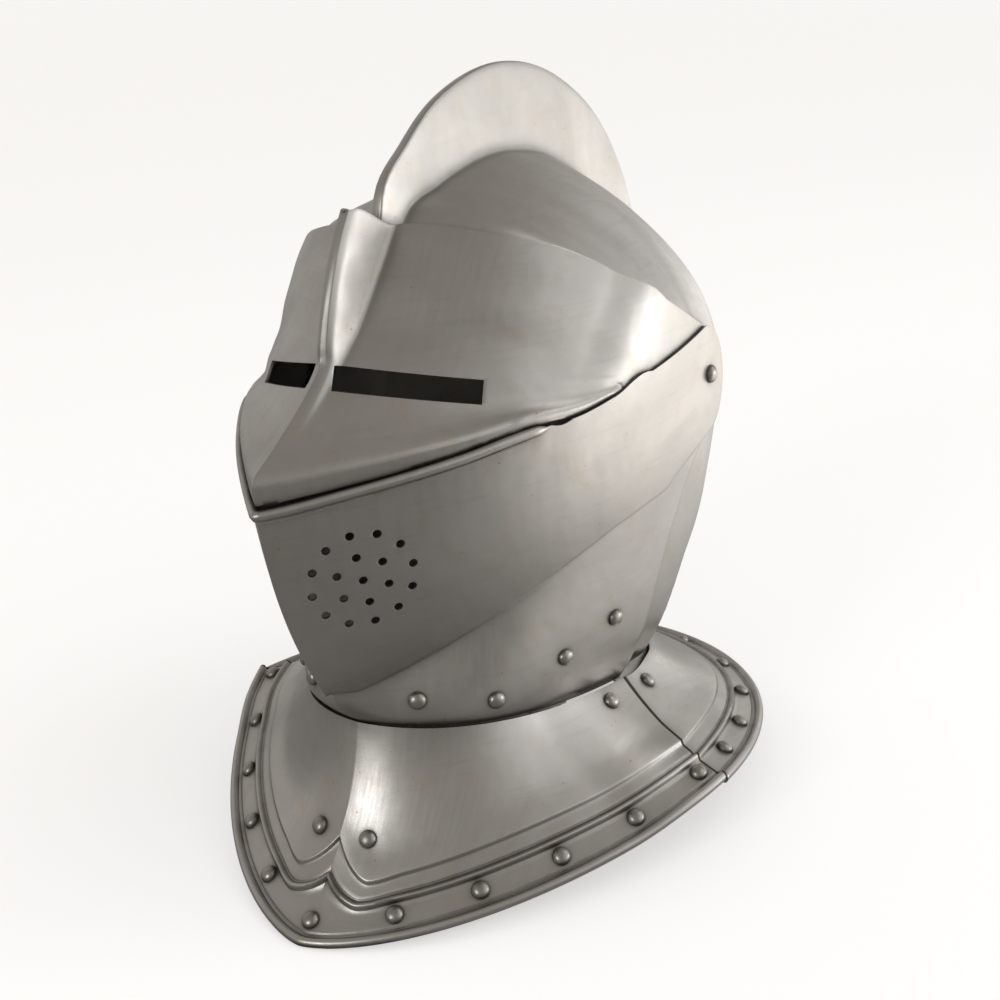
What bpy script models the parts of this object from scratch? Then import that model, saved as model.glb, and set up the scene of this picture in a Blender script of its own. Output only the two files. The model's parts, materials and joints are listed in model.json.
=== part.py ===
"""Close helmet: a skull with a comb, a keeled visor, a ventail, a bevor and a two-plate gorget.

Every plate is described about the axis of the side pivots.  An angle of 0 degrees looks straight
ahead from that axis (-Y), 90 is up and 180 is behind.  At each angle a plate has a section: a curve
from the middle plane (x = 0) out to the pivot (x = half width), given by the crown radius at the
middle, the rake with which it leaves the middle, and how far it runs forward and down the cheek.
"""
import math

import bmesh
import bpy
from mathutils import Matrix, Vector

# Driving dimensions, in metres and degrees
PIVOT_Y = 0.0407          # pivot axis behind the middle of the footprint
PIVOT_Z = 0.2187          # pivot axis above the table
LEAN = 9.4                # the upright helmet leans back by this when it stands on its rim
SHEET = 0.0014            # thickness of the steel sheet
SKULL_W = 0.1082          # half widths over the pivots, one layer over the other
BEVOR_W = 0.1102
VISOR_W = 0.1122
VENTAIL_W = 0.1142
BROW = 24                 # angle of the skull's lower edge over the face, in the middle
NECK_Z = -0.160           # level of the neck opening below the pivots
RIM_A = 0.151             # half width of the gorget rim
RIM_FRONT_Y = -0.0206     # widest place of the front rim
RIM_FRONT_B = 0.1777      # reach of the front rim from there
RIM_FRONT_Z = -0.1846     # height of the front rim at its widest place
RIM_FRONT_FALL = 0.378    # the front rim falls by this for each unit forward
RIM_FRONT_POINT = 1.53    # exponent of the front rim outline: below 2 is pointed
RIM_REAR_A = 0.149
RIM_REAR_Y = -0.044
RIM_REAR_B = 0.198
RIM_REAR_Z = -0.1942
RIM_ROLL = 0.0026         # radius of the rolled rim
BORDER = 0.026            # width of the embossed border
BORDER_STEP = 0.0014
CUSP_HEIGHT = 0.021       # the border rises by this to a point in front
CUSP_SPREAD = 0.11
NECK_GAP = 0.0012         # clearance between a plate's neck and the gorget's neck edge
FLARE_FRONT = 0.105       # hollowness of the gorget, as a part of its slope length
FLARE_REAR = 0.05
LAP = 0.0024              # the front plate is lifted by this where it laps over the rear one
RIVET_R = 0.0044
RIVET_H = 0.0030
RIVET_SEAT = 0.0006       # clearance under a rivet head
RIVET_SHANK_R = 0.0015
RIVET_HOLE_R = 0.0021
RIVET_TAIL_R = 0.0026
RIVET_TAIL_H = 0.0009
RIVET_SIDES = 8
RIM_RIVET_IN = 0.0095     # rim rivets stand this far inside the rim
RIM_RIVET_PITCH = 0.042
REAR_RIVET_PITCH = 0.048
NECK_RIVET_DROP = 0.0080  # the rivets at the neck stand this far below its edge
FRONT_NECK_RIVET = 0.95
REAR_NECK_RIVET = 1.14
PIVOT_R = 0.0046
PIVOT_SHANK_R = 0.0024
PIVOT_HOLE_R = 0.0029
WASHER_R = 0.0085
BREATH_R = 0.00205
BREATH_RING_R = 0.0235
SIGHT_HEIGHT = 0.0105
CREST_R = 0.155           # comb crest about the pivots
KEEL_R = 0.1724           # keel ridge about the pivots

# Common section round the pivots, so that every layer turns freely on the next
HUB = {"crown": 0.222, "rake": 0.95, "fore": 0.57, "cheek": 0.104}
HUB_FROM = 0.60
HUB_TO = 0.85
STRAP_END = 0.80          # where a strap's arcs give way to straight lines across the pivot

# Sections: (angle, value) stations
# The skull's stations run on past 360 to the brow at 384
SKULL = {
    "half": SKULL_W,
    "crown": ((35, 0.138), (47, 0.127), (60, 0.1195), (75, 0.1145), (90, 0.112), (105, 0.112),
              (120, 0.115), (150, 0.129), (180, 0.143), (215, 0.152), (232, 0.163), (244, 0.179),
              (253, 0.187), (266, 0.211), (285, 0.212), (330, 0.190), (366, 0.152), (384, 0.138)),
    "rake": ((35, 0.05), (60, 0.20), (90, 0.30), (120, 0.35), (150, 0.30), (180, 0.20),
             (215, 0.10), (244, 0.0), (330, 0.05), (384, 0.05)),
    "fore": ((35, 0.57), (60, 0.52), (90, 0.48), (120, 0.46), (150, 0.48), (180, 0.50),
             (215, 0.52), (244, 0.56), (266, 0.59), (330, 0.57), (384, 0.57)),
    "cheek": ((35, 0.57), (60, 0.48), (90, 0.43), (120, 0.43), (150, 0.45), (180, 0.47),
              (215, 0.50), (244, 0.57), (266, 0.63), (282, 0.55), (330, 0.44), (384, 0.57)),
    "hub_from": ((240, 0.80), (262, 0.56), (345, 0.56), (385, 0.80)),
    "hub_to": ((240, 0.97), (262, 0.80), (345, 0.80), (385, 0.97)),
}
# The bevor's stations count from its upper, keeled part (0) down to its round neck (1)
BEVOR = {
    "half": BEVOR_W,
    "crown": ((0, 0.217), (1, 0.217)),
    "rake": ((0, 0.95), (0.15, 0.88), (1, 0.05)),
    "fore": ((0, 0.57), (1, 0.60)),
    "cheek": ((0, 0.47), (0.15, 0.49), (1, 0.70)),
}
BEVOR_NECK = ((0.0, -47.5), (0.1, -47.8), (0.2, -49), (0.3, -54), (0.4, -61), (0.5, -72),
              (0.6, -85), (0.8, -110))
VENTAIL = {
    "half": VENTAIL_W,
    "crown": ((-50, 0.222), (0, 0.222)),
    "rake": ((-50, 0.95), (0, 0.95)),
    "fore": ((-50, 0.57), (0, 0.57)),
    "cheek": ((-50, 0.47), (0, 0.47)),
}
VISOR = {
    "half": VISOR_W,
    "crown": ((-18, 0.213), (-10.4, 0.216), (-9.2, 0.2215), (-7.7, 0.222), (-4.7, 0.207),
              (-1.7, 0.192), (1.3, 0.180), (4, 0.1715), (5.5, 0.168), (8, 0.163), (12, 0.156),
              (20, 0.148), (28, 0.1445), (45, 0.143)),
    "rake": ((-5, 0.95), (5, 0.50), (12, 0.35), (20, 0.15), (35, 0.08)),
    "fore": ((-8, 0.57), (5, 0.50), (35, 0.56)),
    "cheek": ((-8, 0.47), (5, 0.62), (35, 0.60)),
}
COMB_RISE = ((24, 0.0040), (35, 0.0155), (47, 0.0265), (60, 0.035), (90, 0.043), (105, 0.0435), (120, 0.0420),
             (150, 0.0290), (180, 0.0135), (205, 0.0045), (225, 0.0))
KEEL_RISE = ((-5, 0.0), (1.3, 0.002), (5.5, 0.0044), (8, 0.0094), (12, 0.0164), (20, 0.0244),
             (28, 0.0279), (45, 0.0294))
COMB_SHAPE = ((0.0, 1.0), (0.0016, 0.985), (0.0025, 0.94), (0.0032, 0.78), (0.0050, 0.28),
              (0.0064, 0.09), (0.0095, 0.0))
KEEL_SHAPE = ((0.0, 1.0), (0.0025, 0.985), (0.0045, 0.90), (0.0058, 0.66), (0.0070, 0.27),
              (0.0086, 0.07), (0.0120, 0.0))


def mix(a, b, part):
    return a + (b - a) * part


def smooth(value, low, high):
    part = min(max((value - low) / (high - low), 0.0), 1.0)
    return part * part * (3 - 2 * part)


def slope(stations, i):
    """Slope at station i that never overshoots its neighbours."""
    if i == 0 or i == len(stations) - 1:
        return 0.0
    before = (stations[i][1] - stations[i - 1][1]) / (stations[i][0] - stations[i - 1][0])
    after = (stations[i + 1][1] - stations[i][1]) / (stations[i + 1][0] - stations[i][0])
    if before * after <= 0:
        return 0.0
    return 2 * before * after / (before + after)


def ramp(stations, at):
    """Smooth curve through (place, value) stations, level beyond both ends."""
    if at <= stations[0][0]:
        return stations[0][1]
    if at >= stations[-1][0]:
        return stations[-1][1]
    i = 0
    while stations[i + 1][0] < at:
        i += 1
    (x0, y0), (x1, y1) = stations[i], stations[i + 1]
    span = x1 - x0
    p = (at - x0) / span
    rise0 = slope(stations, i) * span
    rise1 = slope(stations, i + 1) * span
    return (y0 * (1 + 2 * p) * (1 - p) ** 2 + rise0 * p * (1 - p) ** 2
            + y1 * p * p * (3 - 2 * p) + rise1 * p * p * (p - 1))


def ventail_top(t):
    """Angle of the ventail's upper edge along its section."""
    return ramp(((0.0, -10.8), (0.15, -10.0), (0.35, -8.2), (0.50, -5.8), (0.60, -4.8),
                 (0.70, -1.0), (0.80, 8.0)), t)


def ventail_foot(t):
    """Angle of the ventail's lower edge along its section."""
    return ramp(((0.0, -38.7), (0.06, -40.8), (0.50, -41.5), (0.62, -43.5), (0.72, -50.0),
                 (STRAP_END, -60.0)), t)


def bevor_station(angle, t):
    foot = ventail_foot(t)
    return min(max((angle - foot) / (ramp(BEVOR_NECK, t) - foot), 0.0), 1.0)


def visor_angle(angle, t):
    """Stretches the prow of the visor so that it follows the ventail's upper edge."""
    crease = 5.5
    if angle >= crease:
        return angle
    edge = min(ventail_top(t), 2.0)
    return crease - (crease - angle) * (crease + 10.8) / (crease - edge)


def section(plate, angle, t):
    """Place (x, radius) on a plate's outer face; t runs from the middle (0) to the pivot (1)."""
    at = angle
    if plate is VISOR:
        at = visor_angle(angle, t)
    if plate is BEVOR:
        at = bevor_station(angle, t)
    hub = smooth(t, HUB_FROM, HUB_TO)
    if plate is SKULL:
        hub = smooth(t, ramp(SKULL["hub_from"], at), ramp(SKULL["hub_to"], at))
    half = plate["half"]
    crown = ramp(plate["crown"], at)
    fore = ramp(plate["fore"], at)
    lead = crown - fore * half * ramp(plate["rake"], at)
    cheek = ramp(plate["cheek"], at) * crown
    hub_lead = HUB["crown"] - HUB["fore"] * half * HUB["rake"]
    crown = mix(crown, HUB["crown"], hub)
    fore = mix(fore, HUB["fore"], hub)
    lead = mix(lead, hub_lead, hub)
    cheek = mix(cheek, HUB["cheek"], hub)
    a, b, c, d = (1 - t) ** 3, 3 * t * (1 - t) ** 2, 3 * t * t * (1 - t), t ** 3
    x = b * fore * half + (c + d) * half
    radius = a * crown + b * lead + c * cheek
    if plate is SKULL and x < COMB_SHAPE[-1][0]:
        radius += ramp(COMB_RISE, at) * ramp(COMB_SHAPE, x)
    if plate is VISOR and x < KEEL_SHAPE[-1][0]:
        radius += ramp(KEEL_RISE, at) * ramp(KEEL_SHAPE, x)
    return x, radius


def place(plate, angle, t):
    x, radius = section(plate, angle, t)
    turn = math.radians(angle)
    return Vector((x, -radius * math.cos(turn), radius * math.sin(turn)))


def solve(function, low, high):
    """Root of a function whose sign changes once between low and high."""
    sign = function(low) > 0
    for _ in range(40):
        middle = (low + high) / 2
        if (function(middle) > 0) == sign:
            low = middle
        else:
            high = middle
    return (low + high) / 2


def t_at_radius(plate, angle, radius):
    return solve(lambda t: section(plate, angle, t)[1] - radius, 0.3, 0.9999)


def at_side(plate, ahead, above):
    """Place on the plate's side with these distances ahead of and above the pivot."""
    radius = math.hypot(ahead, above)
    angle = math.degrees(math.atan2(above, ahead))
    if plate is SKULL and angle < 0:
        angle += 360
    if plate is not SKULL and angle < -100:
        angle += 360
    return place(plate, angle, t_at_radius(plate, angle, radius))


def strap(plate, t_stations, u_stations, low, high, heading, end, lines):
    """Grid of places: arcs across the strap from the front, then lines across the pivot.

    The strap ends behind the pivot in a half oval; end gives its reach below, above and behind.
    """
    end_low, end_high, end_back = end
    grid = []
    for t in t_stations:
        grid.append([place(plate, mix(low(t), high(t), u), t) for u in u_stations])
    hub_radius = section(plate, heading, STRAP_END)[1]
    edge_low = hub_radius * math.sin(math.radians(low(STRAP_END) - heading))
    edge_high = hub_radius * math.sin(math.radians(high(STRAP_END) - heading))
    turn = math.radians(heading)
    for k in range(1, lines + 1):
        forward = k <= lines // 2
        if forward:
            part = 2 * k / lines
            reach = hub_radius * (1 - part)
            width = 1.0
        else:
            part = 1.0
            swing = math.radians(84) * (2 * k / lines - 1)
            reach = -end_back * math.sin(swing)
            width = math.cos(swing)
        row = []
        for u in u_stations:
            across = mix(mix(edge_low, -end_low, part), mix(edge_high, end_high, part), u)
            along = reach
            if forward:
                along = reach * math.sqrt(1 - (across / hub_radius) ** 2)
            across *= width
            ahead = along * math.cos(turn) - across * math.sin(turn)
            above = along * math.sin(turn) + across * math.cos(turn)
            row.append(at_side(plate, ahead, above))
        grid.append(row)
    return grid


def steps(first, last, count):
    return [mix(first, last, i / count) for i in range(count + 1)]


def grid_mesh(name, grid, closed=False, flange=None):
    """Open surface through a grid of places, with its faces looking outward."""
    bm = bmesh.new()
    rows = [[bm.verts.new(p) for p in row] for row in grid]
    loops = list(zip(rows, rows[1:]))
    if closed:
        loops.append((rows[-1], rows[0]))
    for low, high in loops:
        for i in range(len(low) - 1):
            bm.faces.new((low[i], low[i + 1], high[i + 1], high[i]))
    if flange:
        add_flange(bm, rows, flange)
    bmesh.ops.remove_doubles(bm, verts=bm.verts, dist=1e-6)
    bmesh.ops.recalc_face_normals(bm, faces=bm.faces)
    probe = max(bm.faces, key=lambda f: f.calc_center_median().x)
    if probe.normal.x < 0:
        bmesh.ops.reverse_faces(bm, faces=bm.faces)
    mesh = bpy.data.meshes.new(name)
    bm.to_mesh(mesh)
    bm.free()
    return mesh


def add_flange(bm, rows, flange):
    """Turns the neck edge out below the gorget; flange gives the edge and its lines of places."""
    edge, lines = flange
    before = [rows[i][j] for i, j in edge]
    for line in lines:
        after = [bm.verts.new(p) for p in line]
        for i in range(len(edge) - 1):
            bm.faces.new((before[i], before[i + 1], after[i + 1], after[i]))
        before = after


def steel(name, colour, roughness):
    material = bpy.data.materials.new(name)
    material.use_nodes = True
    shader = material.node_tree.nodes["Principled BSDF"]
    shader.inputs["Base Color"].default_value = (*colour, 1.0)
    shader.inputs["Metallic"].default_value = 1.0
    shader.inputs["Roughness"].default_value = roughness
    return material


def add_object(name, mesh, material, parent, collection):
    obj = bpy.data.objects.new(name, mesh)
    collection.objects.link(obj)
    obj.parent = parent
    if material:
        mesh.materials.clear()
        mesh.materials.append(material)
    mesh.shade_smooth()
    mesh.set_sharp_from_angle(angle=math.radians(35))
    return obj


def add_shell(name, mesh, material, parent, collection):
    """A half plate becomes a whole one of sheet thickness."""
    obj = add_object(name, mesh, material, parent, collection)
    mirror = obj.modifiers.new("other_half", "MIRROR")
    mirror.use_mirror_merge = True
    mirror.merge_threshold = 0.00005
    sheet = obj.modifiers.new("sheet", "SOLIDIFY")
    sheet.thickness = SHEET
    sheet.offset = -1
    sheet.use_even_offset = True
    return obj


def cut(obj, cutter, name):
    difference = obj.modifiers.new(name, "BOOLEAN")
    difference.operation = "DIFFERENCE"
    difference.object = cutter
    difference.solver = "EXACT"


def add_cutter(name, bm, parent, collection):
    mesh = bpy.data.meshes.new(name)
    bm.to_mesh(mesh)
    bm.free()
    obj = bpy.data.objects.new(name, mesh)
    collection.objects.link(obj)
    obj.parent = parent
    obj.hide_render = True
    obj.display_type = "WIRE"
    return obj


def facing(point, normal):
    """Frame at a point whose Z axis is the normal."""
    return Matrix.Translation(point) @ normal.to_track_quat("Z", "Y").to_matrix().to_4x4()


def mirrored(point, normal):
    return Vector((-point.x, point.y, point.z)), Vector((-normal.x, normal.y, normal.z))


def plate_normal(plate, angle, t):
    """Outward normal of a plate from two short steps on its surface."""
    step_angle = place(plate, angle + 0.5, t) - place(plate, angle - 0.5, t)
    step_t = place(plate, angle, t + 0.004) - place(plate, angle, t - 0.004)
    return step_t.cross(step_angle).normalized()


# ---- gorget ----------------------------------------------------------------------------------

def bevor_neck(v):
    """Front neck curve on the bevor: v runs from the middle (0) to the join (1)."""
    t = v * BEVOR_CORNER
    angle = solve(lambda a: place(BEVOR, a, t).z - NECK_Z, -88.0, -40.0)
    return place(BEVOR, angle, t)


def skull_neck(v):
    """Rear neck curve on the skull: v runs from the middle (0) to the join (1)."""
    angle = mix(SKULL_NAPE, SKULL_JOIN, v)
    if v <= 0:
        return place(SKULL, SKULL_NAPE, 0.0)
    t = solve(lambda s: place(SKULL, angle, s).z - NECK_Z, 0.0, 0.75)
    return place(SKULL, angle, t)


def front_rim(v):
    turn = math.radians(RIM_FRONT_TURN) * v
    power = 2 / RIM_FRONT_POINT
    across = math.sin(turn) ** power
    ahead = math.cos(turn) ** power
    y = RIM_FRONT_Y - RIM_FRONT_B * ahead
    z = RIM_FRONT_Z - RIM_FRONT_FALL * RIM_FRONT_B * ahead
    return Vector((RIM_A * across, y, z))


def rear_rim(v):
    turn = math.radians(90) * v
    y = RIM_REAR_Y + RIM_REAR_B * math.cos(turn)
    return Vector((RIM_REAR_A * math.sin(turn), y, RIM_REAR_Z))


def collar_lines(w):
    """Neck edge and rim of the gorget: w is 0 in front, 1 at the joins, 2 behind, -1 .. on the right."""
    side = 1
    if w < 0:
        w, side = -w, -1
    if w > 2:
        w, side = 4 - w, -1
    near_join = smooth(1 - abs(w - 1), 0.55, 1.0)
    neck_join = bevor_neck(1)
    rim_join = (front_rim(1) + rear_rim(1)) / 2
    if w <= 1:
        neck, rim = bevor_neck(w), front_rim(w)
        neck_end, rim_end = bevor_neck(1), front_rim(1)
    else:
        neck, rim = skull_neck(2 - w), rear_rim(2 - w)
        neck_end, rim_end = skull_neck(1), rear_rim(1)
    neck = neck + (neck_join - neck_end) * near_join
    rim = rim + (rim_join - rim_end) * near_join
    return Vector((side * neck.x, neck.y, neck.z)), Vector((side * rim.x, rim.y, rim.z))


def collar_frame(w, gap=SHEET + NECK_GAP):
    """Neck edge, slope direction, slope length, outward normal and hollowness of the gorget at w."""
    neck_before, rim_before = collar_lines(w - 0.02)
    neck_after, rim_after = collar_lines(w + 0.02)
    neck, rim = collar_lines(w)
    along = (neck_after - neck_before + rim_after - rim_before).normalized()
    outward = Vector((along.y, -along.x, 0)).normalized()
    if outward.dot(rim - neck) < 0:
        outward.negate()
    neck = neck + outward * gap
    down = rim - neck
    normal = along.cross(down).normalized()
    if normal.z < 0:
        normal.negate()
    flare = mix(FLARE_FRONT, FLARE_REAR, smooth(2 - abs(2 - abs(w)), 0.3, 1.3))
    return neck, down.normalized(), down.length, normal, flare


def collar_point(frame, distance, lift):
    """Place on the gorget, a distance down its slope from the neck edge, lifted off its face."""
    neck, down, length, normal, flare = frame
    part = distance / length
    sag = 4 * flare * length * part * (1 - part)
    tilt = 4 * flare * (1 - 2 * part)
    local = (normal + down * tilt).normalized()
    return neck + down * distance - normal * sag + local * lift


def collar_face(w, length, rolled):
    """Corners of a gorget plate's outer face as (distance, lift): cone, step, sunken strip."""
    step = length - BORDER - CUSP_HEIGHT * max(1 - abs(w) / CUSP_SPREAD, 0.0) ** 2
    reach = length if rolled else length - 0.0075
    return [(0.0, 0.0), (step * 0.33, 0.0), (step * 0.67, 0.0), (step, 0.0),
            (step + 0.0018, -BORDER_STEP), (reach - 0.0036, -BORDER_STEP)]


def collar_ring(w, lift, rolled):
    """Closed cross-section of a gorget plate with its stepped border and rolled rim."""
    frame = collar_frame(w)
    face = collar_face(w, frame[2], rolled)
    reach = face[-1][0] + 0.0036
    ring = [collar_point(frame, d, h + lift) for d, h in face]
    centre = collar_point(frame, reach, lift - BORDER_STEP)
    roll = RIM_ROLL if rolled else SHEET * 0.45
    upward = (collar_point(frame, reach, 0.001) - collar_point(frame, reach, 0)).normalized()
    outward = (collar_point(frame, reach, 0) - collar_point(frame, reach - 0.001, 0)).normalized()
    for turn in (75, 30, -15, -60, -105, -150):
        angle = math.radians(turn)
        ring.append(centre + outward * (roll * math.cos(angle)) + upward * (roll * math.sin(angle)))
    for d, h in reversed(face):
        ring.append(collar_point(frame, d, h + lift - SHEET))
    return ring


def collar_mesh(name, rings):
    """Joins cross-sections into a closed body and caps both ends."""
    bm = bmesh.new()
    loops = [[bm.verts.new(p) for p in ring] for ring in rings]
    count = len(rings[0])
    for low, high in zip(loops, loops[1:]):
        for i in range(count):
            j = (i + 1) % count
            bm.faces.new((low[i], low[j], high[j], high[i]))
    bm.faces.new(loops[0])
    bm.faces.new(loops[-1])
    bmesh.ops.recalc_face_normals(bm, faces=bm.faces)
    mesh = bpy.data.meshes.new(name)
    bm.to_mesh(mesh)
    bm.free()
    return mesh


def stand_flat(point, pivot_frame):
    """Presses what would reach below the table up to it, so that the rim stands flat."""
    world = pivot_frame @ point
    if world.z < 0:
        world.z = 0
    return pivot_frame.inverted() @ world


def flip(point):
    return Vector((-point.x, point.y, point.z))


def rivet_mesh(name, head_r, head_h, shank_r, length, tail_r, tail_h, sides):
    """Turned rivet: domed head on the outside, shank, and a flat clenched tail."""
    seat = RIVET_SEAT
    profile = [(0.0, seat + head_h), (head_r * 0.62, seat + head_h * 0.78), (head_r, seat),
               (shank_r, seat), (shank_r, -length), (tail_r, -length),
               (tail_r, -length - tail_h), (0.0, -length - tail_h)]
    bm = bmesh.new()
    verts = [bm.verts.new((r, 0, z)) for r, z in profile]
    edges = [bm.edges.new(pair) for pair in zip(verts, verts[1:])]
    bmesh.ops.spin(bm, geom=verts + edges, cent=(0, 0, 0), axis=(0, 0, 1),
                   angle=math.radians(360), steps=sides, use_merge=True)
    bmesh.ops.remove_doubles(bm, verts=bm.verts, dist=1e-6)
    bmesh.ops.recalc_face_normals(bm, faces=bm.faces)
    mesh = bpy.data.meshes.new(name)
    bm.to_mesh(mesh)
    bm.free()
    return mesh


def border_places(first, last, pitch, count):
    """Values of w at which rivets stand, by stepping along the gorget's border."""
    def border(w):
        frame = collar_frame(w)
        return collar_point(frame, frame[2] - RIM_RIVET_IN, 0)
    places = []
    travelled = 0.0
    point = border(first)
    for step in range(501):
        w = mix(first, last, step / 500)
        after = border(w)
        travelled += (after - point).length
        point = after
        if travelled >= pitch * len(places) - 1e-9 and len(places) < count:
            places.append(w)
    return places


SKULL_NAPE = solve(lambda a: place(SKULL, a, 0.0).z - NECK_Z, 225.0, 262.0)
SKULL_CORNER = 284.5
SKULL_JOIN = 279.5
BEVOR_CORNER = solve(lambda t: place(BEVOR, -80.0, t).z - NECK_Z, 0.2, 0.75)
RIM_FRONT_TURN = 76.7


def main():
    for old in list(bpy.data.objects):
        bpy.data.objects.remove(old, do_unlink=True)
    scene = bpy.context.scene
    helmet = bpy.data.collections.new("knight_helmet")
    cutters = bpy.data.collections.new("cutters")
    scene.collection.children.link(helmet)
    scene.collection.children.link(cutters)

    hinges = {}
    above = None
    for name in ("skull_frame", "bevor_hinge", "ventail_hinge", "visor_hinge"):
        empty = bpy.data.objects.new(name, None)
        helmet.objects.link(empty)
        empty.empty_display_size = 0.02
        if above is None:
            empty.location = (0, PIVOT_Y, PIVOT_Z)
            empty.rotation_euler = (math.radians(-LEAN), 0, 0)
        else:
            empty.parent = above
        above = empty
        hinges[name] = empty
    root, bevor_hinge, ventail_hinge, visor_hinge = hinges.values()
    stand = Matrix.Translation((0, PIVOT_Y, PIVOT_Z)) @ Matrix.Rotation(math.radians(-LEAN), 4, "X")

    polished = {
        "skull": steel("skull_steel", (0.62, 0.60, 0.57), 0.30),
        "visor": steel("visor_steel", (0.60, 0.58, 0.55), 0.30),
        "ventail": steel("ventail_steel", (0.60, 0.58, 0.55), 0.32),
        "bevor": steel("bevor_steel", (0.62, 0.60, 0.57), 0.30),
        "gorget": steel("gorget_steel", (0.66, 0.65, 0.63), 0.28),
        "rivet": steel("rivet_steel", (0.45, 0.43, 0.41), 0.35),
    }

    add_skull(root, helmet, cutters, polished)
    add_bevor(bevor_hinge, helmet, cutters, polished)
    add_ventail(ventail_hinge, helmet, cutters, polished)
    add_visor(visor_hinge, helmet, cutters, polished)
    add_gorget(root, bevor_hinge, helmet, cutters, polished, stand)
    add_pivots(root, helmet, cutters, polished)


def holes(name, frames, radius, depth, sides, parent, collection):
    """One cutter with a pin at each frame."""
    skew = Matrix.Rotation(math.radians(11), 4, "Z")
    bm = bmesh.new()
    for frame in frames:
        bmesh.ops.create_cone(bm, cap_ends=True, segments=sides, radius1=radius, radius2=radius,
                              depth=depth, matrix=frame @ skew)
    return add_cutter(name, bm, parent, collection)


def both_pivots():
    return [facing(Vector((side * VISOR_W, 0, 0)), Vector((side, 0, 0))) for side in (1, -1)]


def add_rivets(name, frames, mesh, material, parent, collection):
    for number, frame in enumerate(frames, 1):
        obj = add_object(f"{name}_{number}", mesh, material, parent, collection)
        obj.matrix_local = frame


def face_edge(angle):
    """Radius of the skull's edge round the face, ahead of the pivots."""
    upright = 0.042 / math.cos(math.radians(angle))
    brow = section(SKULL, BROW + 360, 0.05)[1]
    return mix(upright, brow, smooth(angle, 0, BROW) ** 1.6)


def skull_start(angle):
    """Where the skull's section starts: middle plane, neck or face edge."""
    if angle <= SKULL_NAPE:
        return 0.0
    if angle <= SKULL_CORNER:
        return solve(lambda t: place(SKULL, angle, t).z - NECK_Z, 0.0, 0.75)
    ahead = angle - 360
    return solve(lambda t: section(SKULL, angle, t)[1] - face_edge(ahead), 0.0, 0.99)


def add_skull(parent, collection, cutters, polished):
    hole_t = t_at_radius(SKULL, 90, PIVOT_HOLE_R)
    back = [BROW, 29.5, 35, 41] + steps(50, 230, 18) + [238]
    neck = steps(SKULL_NAPE, SKULL_JOIN - 4, 5) + [SKULL_JOIN, SKULL_CORNER]
    face = steps(296, 356, 6) + [363, 368, 372.5, 376.5, 380, 382.5]
    angles = back + neck + face
    spread = (0, 0.012, 0.019, 0.028, 0.045, 0.10, 0.21, 0.34, 0.48, 0.62, 0.76, 0.88, 1)
    grid = []
    for angle in angles:
        start = skull_start(angle)
        grid.append([place(SKULL, angle, mix(start, hole_t, part)) for part in spread])
    edge = [(i, 0) for i in range(len(back), len(back) + len(neck) - 2)]
    lines = []
    for down, lift in ((0.005, -0.0036), (0.014, -0.0036)):
        line = [collar_point(collar_frame(1 + (angle - SKULL_JOIN) / (SKULL_NAPE - SKULL_JOIN)), down, lift)
                for angle in neck[:-2]]
        line[0].x = 0.0
        lines.append(line)
    mesh = grid_mesh("skull", grid, closed=True, flange=(edge, lines))
    skull = add_shell("skull", mesh, polished["skull"], parent, collection)
    cutter = holes("skull_neck_rivet_holes", gorget_rivet(REAR_NECK_RIVET, NECK_RIVET_DROP, False),
                   RIVET_HOLE_R, 0.016, RIVET_SIDES, parent, cutters)
    cut(skull, cutter, "neck_rivet_holes")


def add_bevor(parent, collection, cutters, polished):
    hub_low, hub_high = -84.0, -22.0

    def low(t):
        if t < BEVOR_CORNER:
            return solve(lambda a: place(BEVOR, a, t).z - NECK_Z, -88.0, -40.0)
        return ramp(((BEVOR_CORNER, -80.0), (0.72, -81.0), (STRAP_END, hub_low)), t)

    def high(t):
        return ramp(((0.0, -33.0), (0.55, -32.0), (STRAP_END, hub_high)), t)

    corner = 9
    stations = steps(0, BEVOR_CORNER, corner) + steps(BEVOR_CORNER, STRAP_END, 4)[1:]
    grid = strap(BEVOR, stations, steps(0, 1, 8), low, high, -50.0, (0.024, 0.022, 0.016), 6)
    edge = [(i, 0) for i in range(corner)]
    lines = []
    for down in (0.005, 0.014):
        line = [collar_point(collar_frame(i / corner), down, -0.0036) for i in range(corner)]
        line[0].x = 0.0
        lines.append(line)
    mesh = grid_mesh("bevor", grid, flange=(edge, lines))
    bevor = add_shell("bevor", mesh, polished["bevor"], parent, collection)
    cutter = holes("bevor_pivot_holes", both_pivots(), PIVOT_HOLE_R, 0.03, 12, parent, cutters)
    cut(bevor, cutter, "pivot_holes")
    frames = bevor_rivets()
    cutter = holes("bevor_rivet_holes", frames, RIVET_HOLE_R, 0.012, RIVET_SIDES, parent, cutters)
    cut(bevor, cutter, "rivet_holes")
    mesh = rivet_mesh("chin_rivet", RIVET_R, RIVET_H, RIVET_SHANK_R, SHEET + 0.0005, RIVET_TAIL_R,
                      RIVET_TAIL_H, RIVET_SIDES)
    add_rivets("chin_rivet", frames, mesh, polished["rivet"], parent, collection)


def bevor_rivets():
    """Four rivets on each side of the chin, above the neck."""
    frames = []
    for angle, across in ((-45.2, 0.031), (-52.0, 0.058), (-58.5, 0.077), (-66.5, 0.089)):
        t = solve(lambda s: section(BEVOR, angle, s)[0] - across, 0.0, 0.8)
        point = place(BEVOR, angle, t)
        normal = plate_normal(BEVOR, angle, t)
        frames.append(facing(point, normal))
        frames.append(facing(*mirrored(point, normal)))
    return frames


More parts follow.
